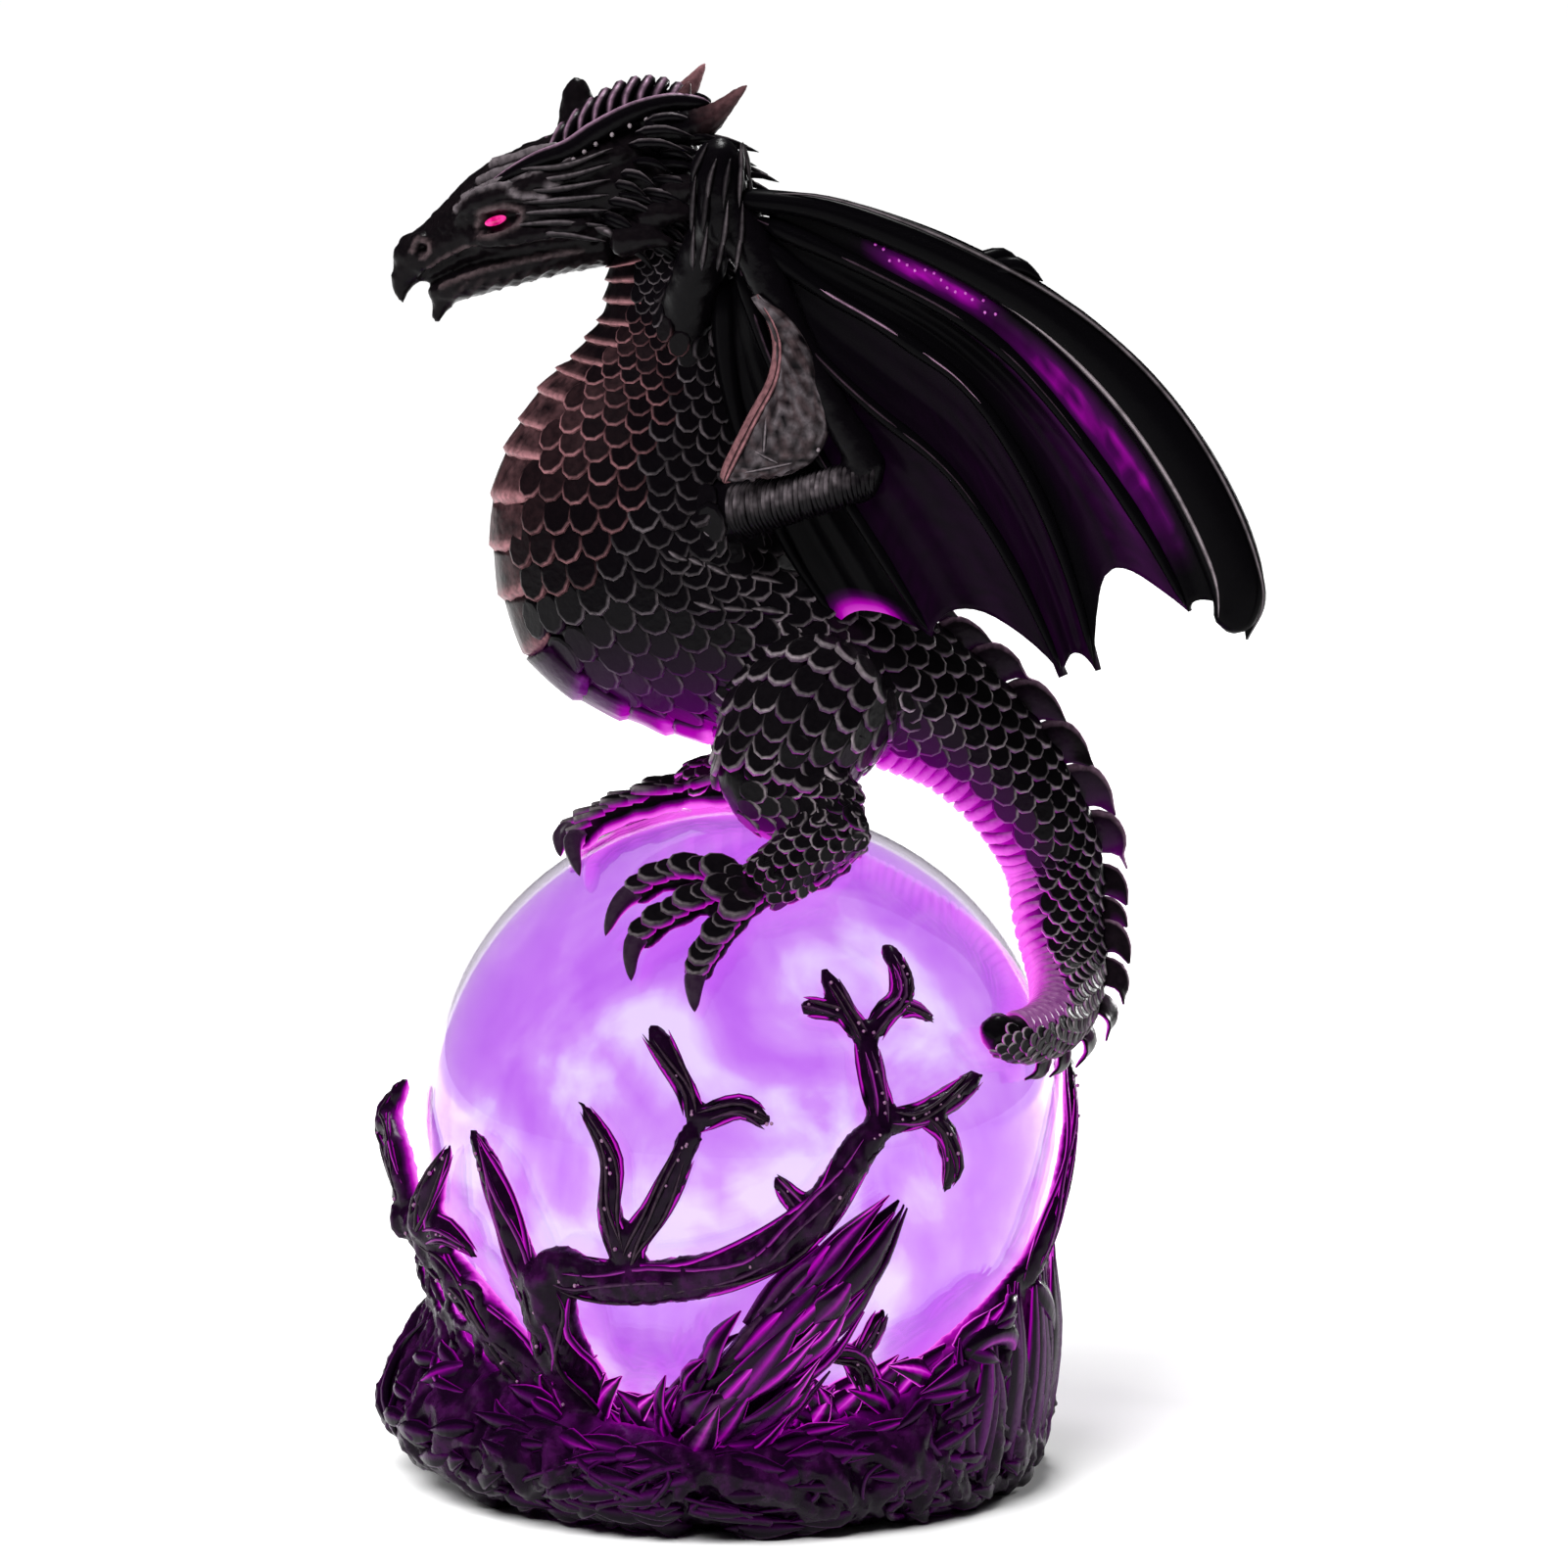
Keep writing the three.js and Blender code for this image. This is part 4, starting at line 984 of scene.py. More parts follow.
def wingMesh(side):
    bm = newShape()
    fingers = wingFingers(side)
    brush = brushFor(bm)
    for i, scallop in enumerate(wing["scallops"]):
        def surface(u, v):
            belly = math.sin(math.pi * u)
            t = wing["start"] + v * (1 - wing["start"] - scallop * belly ** 0.8)
            p = pathPoint(fingers[i], t).lerp(pathPoint(fingers[i + 1], t), u)
            hollow = wing["hollow"] * belly * ease(2 * t) * (i > 0)
            folds = 0.32 * belly * math.sin(u * 19 + i * 2) * ease(2 * v)
            creases = 0.25 * noise.noise(Vector((p.x * 0.18, i * 7.0, p.z * 0.18)))
            p.y -= side * (hollow + folds + creases)
            return p

        for v, (u, w) in sheet(bm, surface, 14, 48).items():
            # the lit values are a painted glow on the membrane, broken into streaks and grain
            streak = 0.62 + 0.5 * noise.noise(Vector((u * 9 + i * 5, w * 2.4, side * 2.0)))
            grain = 0.75 + 0.5 * noise.noise(v.co * 0.9)
            if i == 0:  # beside the leading edge, and between arm and finger
                lit = 0.65 * ease((u - 0.58) / 0.16) * (1 - 0.7 * ease((u - 0.84) / 0.16))
                lit *= ease((w - 0.34) / 0.16) * (1 - ease((w - 0.66) / 0.26))
                arm = ease((u - 0.5) / 0.14) * (1 - ease((u - 0.72) / 0.2))
                lit += 1.0 * arm * ease((w - 0.14) / 0.1) * (1 - ease((w - 0.3) / 0.1))
            elif i == 1:
                lit = 0.8 * (1 - ease(u / 0.2)) * ease((w - 0.3) / 0.2) * (1 - ease((w - 0.7) / 0.2))
                lit += 0.2 * (1 - ease(u / 0.9)) * ease((w - 0.5) / 0.3)
            elif i == 4:
                fading = 1 - 0.5 * ease((u - 0.8) / 0.2)
                lit = 0.8 * ease((w - 0.92) / 0.08) * ease((u - 0.1) / 0.3) * fading
                grain = streak = 1
            else:
                lit = 0.05 * ease(w)
            brush(v, "plum", 0.0, lit * max(streak, 0.1) * grain)
    thicken(bm, wing["thickness"])
    heap = Heap()
    heap.meshes.append(meshFrom(bm, "membrane"))

    share, steps = wing["bandShare"], 24
    span = [k / steps for k in range(steps + 1)]
    across = [pathPoint(fingers[1], s) - pathPoint(fingers[0], s) for s in span]
    middle = [pathPoint(fingers[0], s) + gap * share for s, gap in zip(span, across)]
    halves = [max(gap.length * share, 1.6) for gap in across]
    deep = [wing["bandDepth"] * between(1.3, 0.9, s) for s in span]
    limb(heap.room(), middle, deep, halves, sides=16, rings=54, facing=across, blunt=0.035)
    outward = Vector((0, side, 0))
    # painted highlight lines along both edges
    for far, first, radius, amount in ((1.82, 0.36, 0.55, 1.0), (0.04, 0.05, 0.4, 0.45)):
        edge = [pathPoint(fingers[0], s) + gap * share * far + outward * 1.5 for s,
                gap in zip(span, across)]
        edge = [pathPoint(edge, between(first, 0.97, k / 16)) for k in range(17)]
        stroke(heap.room(), edge, [0.15, radius, radius, radius * 0.9, 0.15], "silver", amount, sides=6,
               rings=50, crown=True, facing=outward)
    for i in range(1, 5):
        line = [pathPoint(fingers[i], 0.03 + 0.95 * s / 12) + Vector((0, side * 0.3, 0)) for s in range(13)]
        size = {1: 1.15, 2: 1.2, 3: 1.0, 4: 1.0}[i]
        limb(heap.room(), line, [size * r for r in (1.5, 1.0, 0.85, 1.0, 0.8, 0.75, 0.8, 0.6, 0.35)],
             sides=8, rings=30)
        # a painted highlight line along each finger, bright on the second
        ridge = [pathPoint(line, 0.6 * s / 8) + outward * size * 0.75 for s in range(9)]
        stroke(heap.room(), ridge, [0.3, 0.32, 0.25, 0.1], "pink", 1.0 if i == 2 else 0.1, sides=6,
               rings=30, crown=True, facing=outward)
    edge = [pathPoint(fingers[5], 0.03 + 0.95 * s / 10) for s in range(11)]
    stroke(heap.room(), edge, [2.0, 1.6, 1.2, 0.9, 0.5], sides=7, rings=20)
    stroke(heap.room(), wingSpar(side, [(32, 27.4, 74.8), (36.4, 29.4, 76.3), (39.8, 30, 74.4)]),
           [1.9, 1.3, 0.25], sides=8, rings=9)
    for k in range(16):  # beads of light where the thumb joins
        first, second = (pathPoint(finger, 0.2 + 0.012 * k) for finger in fingers[:2])
        spot = first.lerp(second, 0.55 + 0.2 * chance.random())
        addBead(heap, spot + outward * 0.4, 0.22, "pink", 0.8, 0.5, sides=5)
    return heap.close()


def skinFold(side):
    # The leaf-shaped fold of skin in front of the elbow, with a beaded rib down its edge
    bm = newShape()
    drop = wing["farDrop"] if side > 0 else 0

    def hung(rows, out):
        return [figure(x, side * (out + bow), z - drop) for x, z, bow in rows]

    rib = hung([(2.0, 72, 0), (4.9, 66.5, 0.7), (4.6, 61, 1), (1.8, 55.4, 1), (-1.4, 49, 0.3),
                (-2.4, 46.8, 0)], 20.2)
    edge = hung([(2.2, 72, 0), (7, 67, 0), (10.4, 59.5, 0), (11.2, 54, 0), (8.6, 49.6, 0), (2, 48, 0)],
                20.8)
    brush = brushFor(bm)

    def surface(u, v):
        p = pathPoint(rib, v).lerp(pathPoint(edge, v), u)
        p.y += side * (1.1 * math.sin(math.pi * u) * math.sin(math.pi * v) + 0.25 * noise.noise(p * 0.8))
        return p

    for v in sheet(bm, surface, 14, 30):
        brush(v, "silver" if noise.noise(v.co * 2.1) > 0 else "bronze",
              0.16 + 0.4 * noise.noise(v.co * 1.3))
    thicken(bm, 1.0)
    heap = Heap()
    heap.meshes.append(meshFrom(bm, "fold"))
    outward = Vector((0, side, 0))
    stroke(heap.room(), rib, [0.5, 1.0, 1.15, 1.2, 1.2, 0.9], "copper", 0.5, sides=8, rings=24)
    crest = [p + outward * 1.0 for p in rib]
    stroke(heap.room(), crest, [0.2, 0.4, 0.45, 0.5, 0.3], "copper", 1.0, sides=6, rings=24, crown=True,
           facing=outward)
    stroke(heap.room(), edge, [0.4, 0.6, 0.65, 0.65, 0.6, 0.5], "silver", 0.6, sides=6, rings=24,
           crown=True, facing=outward)
    for k in range(7):  # creases in the fold
        a, b = pathPoint(rib, between(0.3, 0.9, k / 6)), pathPoint(edge,
                                                                   between(0.35, 0.98, (k * 3 % 7) / 6))
        line = [a.lerp(b, s) + outward * (0.5 + 1.1 * math.sin(math.pi * s)) for s in (0.1, 0.4, 0.65, 0.9)]
        stroke(heap.room(), line, [0.1, 0.3, 0.3, 0.1], "silver", 0.6, rings=9, crown=True, facing=outward)
    for k in range(9):
        spot = pathPoint(edge if k % 2 else rib, 0.15 + 0.08 * k) + Vector((0, side * 0.9, 0))
        addBead(heap, spot, 0.34, "silver", 0.8)
    arm = wingSpar(side, wing["upperArm"])
    # ridges round the upper arm, each with a painted silver highlight along its middle, fading towards the
    # elbow
    for k in range(34):  # silvery ridges round the upper arm
        s = 0.3 + 0.68 * k / 33
        centre, way = pathPoint(arm, s), pathWay(arm, s)
        out = (Vector((0, side, 0.35)) - way * Vector((0, side, 0.35)).dot(way)).normalized()
        up = way.cross(out) * side
        radius = along(wing["upperArmRadii"], s) + 0.15 - 0.6 * ease((s - 0.82) / 0.16)
        arc = [centre + (out * math.cos(a) + up * math.sin(a)) * radius for a in (-1.6, -0.9, -0.2, 0.5,
                                                                                  1.2)]
        arc = [p + way * (0.35 * (i - 2) + chance.uniform(-0.15, 0.15)) for i, p in enumerate(arc)]
        rows = stroke(heap.room(), arc, [0.15, 0.36, 0.42, 0.38, 0.15], sides=6, rings=13, facing=way)
        for i, ring in enumerate(rows):
            paintedShine = math.exp(-((i - 7.5) / 1.7) ** 2) * (1 - 0.9 * ease((s - 0.72) / 0.22))
            paint(heap.bm, ring, "silver", 0.45 * paintedShine * chance.uniform(0.1, 1.2))
    # the flank strokes carry painted highlights along their tops
    for k in range(12):  # long strokes on the flank behind the arm
        s = k / 11
        t, a = between(0.27, 0.4, s), between(52, 84, (k * 5 % 12) / 11)
        line = [onTrunk(t + 0.007 * i, side * (a - 1.4 * i), 0.7) for i in range(5)]
        stroke(heap.room(), line, [0.2, 0.55, 0.6, 0.4, 0.1], "silver", 0.35, rings=11, crown=True,
               facing=outward)
    knob = wingSpar(side, [(-2, 16.2, 74), (-2.6, 16.2, 80), (-3.2, 16, 88), (-2.8, 15.6, 93)])
    # the shoulder strokes carry faint painted highlights along their tops
    for k in range(16):  # feathery strokes over the shoulder
        low, angle = 0.06 + 0.56 * (k % 5) / 4, math.radians(-75 + 150 * (k * 7 % 16) / 15)
        line = []
        for i in range(5):
            t = low + 0.08 * i
            radius = along([4.6, 4.5, 4.1, 2.6], t) + 0.1
            line.append(pathPoint(knob, t) + Vector((math.sin(angle), side * math.cos(angle), 0)) * radius)
            angle += 0.09
        stroke(heap.room(), line, [0.1, 0.45, 0.5, 0.35, 0.1], "silver", chance.uniform(0.04, 0.3),
               rings=11, crown=True, facing=outward)
    return heap.close()


def footTrim():
    heap = Heap()
    for leg in legs.values():
        for path in leg["toes"]:
            points = toePath(path, toe["radius"])
            for k in range(toe["scutes"]):
                t = between(0.1, toe["clawFrom"] - 0.04, k / (toe["scutes"] - 1))
                spot, way = pathPoint(points, t), pathWay(points, t)
                out = fromGlobe(spot)
                radius = along(toe["shape"], t / toe["clawFrom"]) * toe["radius"]
                addScale(heap.room(), spot + out * radius * statue["flatness"] * 0.86, out, way,
                         radius * 1.6, "silver", 0.3, tilt=16, thick=0.28)
            claw = [pathPoint(points, between(toe["clawFrom"] - 0.06, 1, s)) for s in (0, 0.3, 0.6, 0.85,
                                                                                       1)]
            lifts = (0.1, 0.9, 0.8, -0.1, -0.9)
            claw = [p + fromGlobe(p) * lift for p, lift in zip(claw, lifts)]
            rows = limb(heap.room(), claw, [1.5, 1.5, 1.15, 0.7, 0.12], sides=8, rings=14,
                        facing=fromGlobe, blunt=0.03)
            for k, row in enumerate(rows):
                paint(heap.bm, row, "silver", 0.12 if k < 3 else 0.03, 0.05)
    return heap.close()


def buildDragon():
    body = bodyCore()
    tree = finderOf(body)[1]
    for v in body.verts:
        v.co += v.normal * noise.noise(v.co * 0.45) * 0.25
    skull = headCore()
    carveHead(skull)
    print("dragon: body and head fused")
    scales = trunkScales(tree)
    for leg in legs.values():
        joints, radii = legJoints(leg), leg["radii"]
        scales += limbScales(tree, joints[:3], radii[:3], 3.9, (0.0, 1.0), reach=2.6)
        scales += limbScales(tree, joints[2:], radii[2:], 2.9, (0.0, 1.0), reach=2.4)
        scales += limbScales(tree, shinOf(leg), toe["shinRadii"], 2.3, (0.1, 0.9))
    print("dragon: scales laid")
    casting = [meshFrom(body, "body"), meshFrom(skull, "skull")] + headTrim() + skinFold(-1) + skinFold(1)
    scales += bellyPlates() + tailRibs() + dorsalSpikes() + footTrim()
    parts = [(mesh, dragonResin) for mesh in casting]
    parts += [(mesh, skinResin) for mesh in wingMesh(-1) + wingMesh(1)]
    parts += [(mesh, eyeGlow) for mesh in eyeball()]
    return pieceFrom("dragonCasting", parts), pieceFrom("dragonScales",
                                                        [(mesh, dragonResin) for mesh in scales])


dragonCasting, dragonScales = buildDragon()
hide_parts("dragon")
for piece in (dragonCasting, dragonScales):
    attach(piece, "root")
print("dragon finished")

# The base

base = {
    "clumps": (  # azimuth and elevation of the foot, then of the tip
        (-58, -50, -62, -30), (-80, -46, -78, -24), (110, -46, 112, -12), (190, -50, 198, -12),
        (240, -46, 233, -10), ),
    "skinGap": 0.12,
    "buttresses": (-58, -92, 62, 96, 140, 190, 236),  # heavier roots, by azimuth
    "voxel": 0.75,
    "beltHeight": 10.0,
    "beltRadius": 45.2,
    "beltShift": 4.3,
    "rimHeights": [13, 16, 33, 31, 26, 24, 24, 24, 25, 25, 20, 14],
    "rimWalls": [11, 8, 1.6, 0.9, 2.4, 2.6, 3, 3, 3.4, 4.6, 6, 9],
    "footInsets": [10, 11.5, 12.5, 12.5, 11, 10, 10, 10, 11.5, 13, 13, 11],
    "trunkRadius": 3.9,
    "limbRadius": 2.7,
    "twigRadius": 1.35,
    "fullness": 0.22,  # what the smoothing takes off a thin branch
    "roots": 64,
    "fineRoots": 70,
    "leaves": 170,
}


def around(values, azimuth):
    return along(values + values[:1], (azimuth % 360) / 360)


def glassRadius(height, gap=0.0):
    r = statue["globeRadius"] + gap
    return math.sqrt(max(r * r - (statue["globeMiddle"].z - height) ** 2, 0))


def cupRows(azimuth):  # height and radius of the outer wall, from the foot to the rim
    rim, inset = around(base["rimHeights"], azimuth), around(base["footInsets"], azimuth)
    belt, high = base["beltRadius"], base["beltHeight"]
    edge = glassRadius(rim) + around(base["rimWalls"], azimuth)
    foot = belt - inset
    rows = [(0, foot, -0.5), (0.18 * high, foot + 0.55 * inset, 0), (0.5 * high, foot + 0.86 * inset, 0.6),
            (high, belt, 1), ((high + rim) / 2, (belt + edge) / 2 + 0.4, 0.5), (rim, edge, 0)]
    shift = base["beltShift"] * math.sin(math.radians(azimuth))
    return [(z, r - lean * shift) for z, r, lean in rows]


def onCup(azimuth, share, lift):  # share 0 is the foot and 1 the rim
    rows = cupRows(azimuth)
    z, r = (along([row[i] for row in rows], share) for i in (0, 1))
    a = math.radians(azimuth)
    return Vector(((r + lift) * math.sin(a), -(r + lift) * math.cos(a), z))


def cupShell(bm):
    sides = 120
    rings = []
    outer = [("wall", s / 8) for s in range(9)]
    inner = [("seat", s / 5) for s in range(6)]
    for kind, share in outer + inner:
        capped = (kind, share) in (("wall", 0), ("seat", 1))
        ring = bmesh.ops.create_circle(bm, cap_ends=capped, radius=1, segments=sides)["verts"]
        for v in ring:
            azimuth = math.degrees(math.atan2(v.co.x, -v.co.y))
            if kind == "wall":
                v.co = onCup(azimuth, share, 0)
            else:
                rim = around(base["rimHeights"], azimuth) + 0.8 * (share == 0)
                z = between(rim, 3.6, share ** 0.7)
                r = max(glassRadius(z, statue["seatGap"]), 2)
                v.co = Vector((v.co.x * r, v.co.y * r, z))
        rings.append(ring)
    bridge(bm, rings)


trunkSize, limbSize, twigSize = base["trunkRadius"], base["limbRadius"], base["twigRadius"]
branches = [
    (trunkSize, [(-40, -58, 8), (-36, -40, 3), (-35, -25), (-34, -13)], [1.3, 1, 0.95, 0.9]),
    (limbSize, [(-36, -26), (-39.5, -17), (-42, -8), (-46, 0), (-53, 6.5)], [1.2, 0.85, 0.7, 0.6, 0.3]),
    (limbSize, [(-36, -13), (-26, -15.5), (-12, -14.6), (2, -10.5), (12, -3.5), (18, 5), (24, 11)],
     [1.2, 1, 1, 1, 0.95, 0.85, 0.8]),
    (twigSize, [(24, 10), (23, 17), (23, 26)], [1.4, 1.1, 1]),
    (twigSize, [(23, 24), (20, 29), (17, 37.5)], [1.1, 0.85, 0.9]),
    (twigSize, [(20, 29), (11, 31)], [0.8, 0.8]),
    (twigSize, [(23, 24), (27, 28), (32, 31), (34, 36), (33, 41.5)], [1.1, 0.95, 0.95, 0.9, 1]),
    (twigSize, [(29, 29.2), (34, 29), (39, 26.5)], [0.9, 0.7, 0.4]),
    (twigSize, [(24, 11), (30, 11), (38, 13.4), (46, 16.5)], [1.4, 0.95, 0.95, 0.95]),
    (twigSize, [(31, 12), (35.5, 8), (37, 2.5), (36, -2.5)], [1, 1, 1.15, 0.3]),
    (twigSize, [(12, -4), (8.5, -1), (5, 3)], [1.3, 0.9, 0.3]),
    (twigSize, [(-19, -14), (-18, -9), (-14, -3), (-10.5, 4), (-7.5, 12)], [1.6, 1.25, 1.15, 1, 1.1]),
    (twigSize, [(-7.5, 11), (-9, 16), (-12, 20.5), (-17, 27.5)], [1.1, 0.75, 0.85, 1.25]),
    (twigSize, [(-8, 11.5), (0, 14), (5, 11)], [1, 1, 0.6]),
    (twigSize, [(-19, -13), (-22, -4), (-22, 5), (-29, 14)], [1.4, 1.1, 0.8, 0.5]),
    (limbSize, [(-43, -56, 6), (-46, -40, 3), (-51, -30), (-58, -22), (-68, -17), (-75, -12)],
     [1.6, 1.3, 1.1, 1, 0.95, 1.1]), (twigSize, [(-70, -15), (-66, -8), (-59, 3)], [2.2, 1.8, 0.3]),
    (twigSize, [(-69, -15.5), (-61, -12.5), (-54.5, -17)], [1.9, 1.4, 0.3]),
    (twigSize, [(-76, -12, 3), (-80, -3, 3.4), (-88, 2, 4.2), (-86, 9, 2.4)], [1.6, 1.7, 1.6, 0.6]),
    (twigSize, [(30, -46, 5), (23, -32), (18, -30), (12.5, -29)], [1.8, 1.2, 0.9, 0.6]),
    (twigSize, [(23, -32), (26.5, -22)], [1.1, 0.6]),
    (twigSize, [(62, -24, 1.6), (68, -9), (76, 4), (89, 14)], [1.8, 1.1, 0.75, 0.7]),
    (trunkSize, [(168, -56, 8), (166, -40, 3), (160, -26), (150, -14)], [1.2, 1, 0.9, 0.8]),
    (limbSize, [(160, -30, 3), (165, -10), (176, 4), (190, 9)], [1.3, 0.9, 0.75, 0.5]),
    (limbSize, [(150, -15), (140, -4), (134, 8), (138, 20)], [1.1, 0.9, 0.7, 0.4]),
    (twigSize, [(176, 3), (172, 12), (178, 21)], [1.4, 1, 0.5]),
    (limbSize, [(216, -50, 5), (219, -32), (228, -18), (240, -8), (246, 4)], [1.4, 1.1, 0.9, 0.7, 0.4]),
]


def branchPath(size, path, shares):
    radii = [size * share + base["fullness"] for share in shares]
    points = []
    for i, step in enumerate(path):
        radius = along(radii, i / (len(path) - 1))
        lift = step[2] if len(step) > 2 else statue["seatGap"] + statue["flatness"] * radius
        points.append(onGlobe(step[0], step[1], lift))
    return points, radii, sum((q - p).length for p, q in zip(points, points[1:]))


def branch(heap, size, path, shares):
    points, radii, length = branchPath(size, path, shares)
    seed = Vector((path[0][0], size, len(path)))

    def knobs(t, turn):
        return size * (0.2 * noise.noise(seed + Vector((t * length * 0.22, turn * 2, 0))) + 0.05)

    limb(heap.room(), points, radii, [statue["flatness"] * r for r in radii], sides=10,
         rings=max(8, int(length / 1.6)), facing=fromGlobe, swell=knobs, blunt=0.08)


def barkLines():
    # Ridges of bark that run along each branch; those beside the glass are painted with a glow as lit by
    # it, and some others with a painted glint
    heap = Heap()
    for size, path, shares in branches:
        points, radii, length = branchPath(size, path, shares)
        for turn in (-80, -38, 0, 36, 78):
            begin, end = chance.uniform(0.02, 0.2), chance.uniform(0.78, 0.96)
            line = []
            for k in range(9):
                t = between(begin, end, k / 8)
                centre, way = pathPoint(points, t), pathWay(points, t)
                out = fromGlobe(centre)
                side = way.cross(out).normalized()
                a = math.radians(turn + 22 * math.sin(t * length * 0.3 + turn))
                radius = along(radii, t)
                line.append(centre + (out * math.cos(a) * statue["flatness"] + side * math.sin(a)) * radius)
            thick = 0.3 + 0.07 * size
            beside = abs(turn) > 50
            look = ("plum", 0.3, 0.7) if beside else ("pink", 0.12, chance.choice((0, 0, 0.1, 0.45)))
            stroke(heap.room(), line, [0.1, thick, thick * 0.8, thick, 0.1], *look,
                   rings=max(8, int(length / 2)), crown=True, facing=fromGlobe)
        # specks painted as glints
        for k in range(int(length / 3)):  # glinting specks
            t = chance.uniform(0.05, 0.97)
            spot = pathPoint(points, t)
            spot += fromGlobe(spot) * along(radii, t) * statue["flatness"]
            radius = chance.uniform(0.15, 0.3)
            addBead(heap, spot + Vector((chance.uniform(-1, 1), 0, 0)) * size * 0.3, radius, "pink", 0.9,
                    0.08, sides=5)
    return heap.close()


def rootStrands(heap):
    nearlyUp = upwards + Vector((0.01, 0, 0))  # never quite along a root
    for k in range(base["roots"]):
        azimuth = k * 360 / base["roots"] + chance.uniform(-2.5, 2.5)
        front = ease(1 - abs(((azimuth + 8 + 180) % 360) - 180) / 70)
        drift = chance.uniform(8, 26) * (1 if chance.random() < 0.62 else -1) * (1 + 0.9 * front)
        top, low = chance.uniform(0.82, 1.04), chance.uniform(0.02, 0.3)
        size = chance.uniform(0.9, 2.0) * between(1, 0.8, front)
        line = []
        for s in (0, 0.25, 0.5, 0.75, 1):
            wave = 2.4 * math.sin(s * 5 + k)
            line.append(onCup(azimuth + drift * s + wave, between(top, low, s),
                              0.1 + 0.5 * math.sin(s * 3.1)))
        limb(heap.room(), line, [size * 0.7, size, size * 1.1, size, size * 0.6], sides=8, rings=16,
             facing=nearlyUp)
    for azimuth in base["buttresses"]:
        line = [onCup(azimuth + 9 * (s - 0.5), between(1.0, 0.06, s), -0.8) for s in (0, 0.33, 0.66, 1)]
        limb(heap.room(), line, [1.6, 2.4, 3.0, 2.2], sides=10, rings=14, facing=nearlyUp)


def webStrands(heap):
    # The net of thin roots over the left shoulder of the base
    knots = [(-100 + 11 * (k % 5) + 5 * (k // 5 % 2), -44 + 8 * (k // 5),
              6.2 - 1.1 * (k // 5)) for k in range(20)]
    for i, a in enumerate(knots):
        for j, b in enumerate(knots):
            if i < j and math.hypot(a[0] - b[0], a[1] - b[1]) < 13.5:
                bow = (a[0] + b[0]) / 2 + 1.4, (a[1] + b[1]) / 2, (a[2] + b[2]) / 2 + 0.8
                limb(heap.room(), [onGlobe(*a), onGlobe(*bow), onGlobe(*b)], [0.85, 0.7, 0.85], sides=7,
                     rings=6)
    knob = Matrix.Translation(onGlobe(-77, -13, 3.2))
    bmesh.ops.create_uvsphere(heap.room(), u_segments=16, v_segments=10, radius=3, matrix=knob)


def baseCore():
    heap = Heap()
    cupShell(heap.room())
    for size, path, shares in branches:
        branch(heap, size, path, shares)
    rootStrands(heap)
    webStrands(heap)
    return fused(heap.close(), "baseCore", base["voxel"], 2)


def weatherBase(bm):
    # Bark grooves and knots, then the brushed values, and a painted glow where the surface is near the
    # glass and faces it
    bm.normal_update()
    brush = brushFor(bm)
    for v in bm.verts:
        out = fromGlobe(v.co)
        azimuth = math.atan2(v.co.x, -v.co.y)
        off = (v.co - statue["globeMiddle"]).length - statue["globeRadius"]
        flow = noise.noise(Vector((azimuth * 16 + v.co.z * 0.12, v.co.z * 0.14, 3)))
        fine = noise.noise(v.co * 1.1)
        outside = ease((off - 2) / 4)
        push = outside * (0.75 * (1 - 2 * abs(flow)) - 0.3) + 0.3 * fine
        if v.co.z > 0.6 and off > 0.9:
            v.co += v.normal * push
        if v.co.z < 0.9:
            v.co.z = max(v.co.z - 0.3, 0.0)
        ridge = max(0.0, 1 - 5 * abs(flow))
        facing = max(0.0, v.normal.dot(-out))
        near = 1 - ease(off / 9)
        brush(v, "plum", 0.16 * ridge * outside * ease(v.co.z / 12) + 0.015, 0.25 * facing * near)
    for v in bm.verts:  # nothing sinks into the glass
        off = v.co - statue["globeMiddle"]
        nearest = statue["globeRadius"] + base["skinGap"]
        if off.length < nearest:
            v.co = statue["globeMiddle"] + off.normalized() * nearest


def addLeaf(bm, foot, tip, out, width, deep, colour="plum", amount=0.5, lit=0.25, bow=1.6):
    # A long leaf with a raised midrib, from foot to tip; its rib and edges are painted as catching the
    # light, in colour and in a glow that grows towards the tip
    middle = foot.lerp(tip, 0.5) + out * bow
    rows = limb(bm, [foot, middle, tip], [width * 0.45, width, width * 0.9, width * 0.5, 0.12],
                [deep, deep, deep * 0.8, deep * 0.5, 0.12], sides=12, rings=8, facing=out, blunt=0)
    for k, row in enumerate(rows):
        for j, v in enumerate(row):
            ridge = {0: 0.8, 3: 1, 9: 1}.get(j, 0.03)
            paint(bm, [v], colour, amount * ridge, lit * ridge * (0.6 + 0.8 * k / len(rows)))
        row[0].co += out * deep * 0.5 * (1 - k / len(rows))


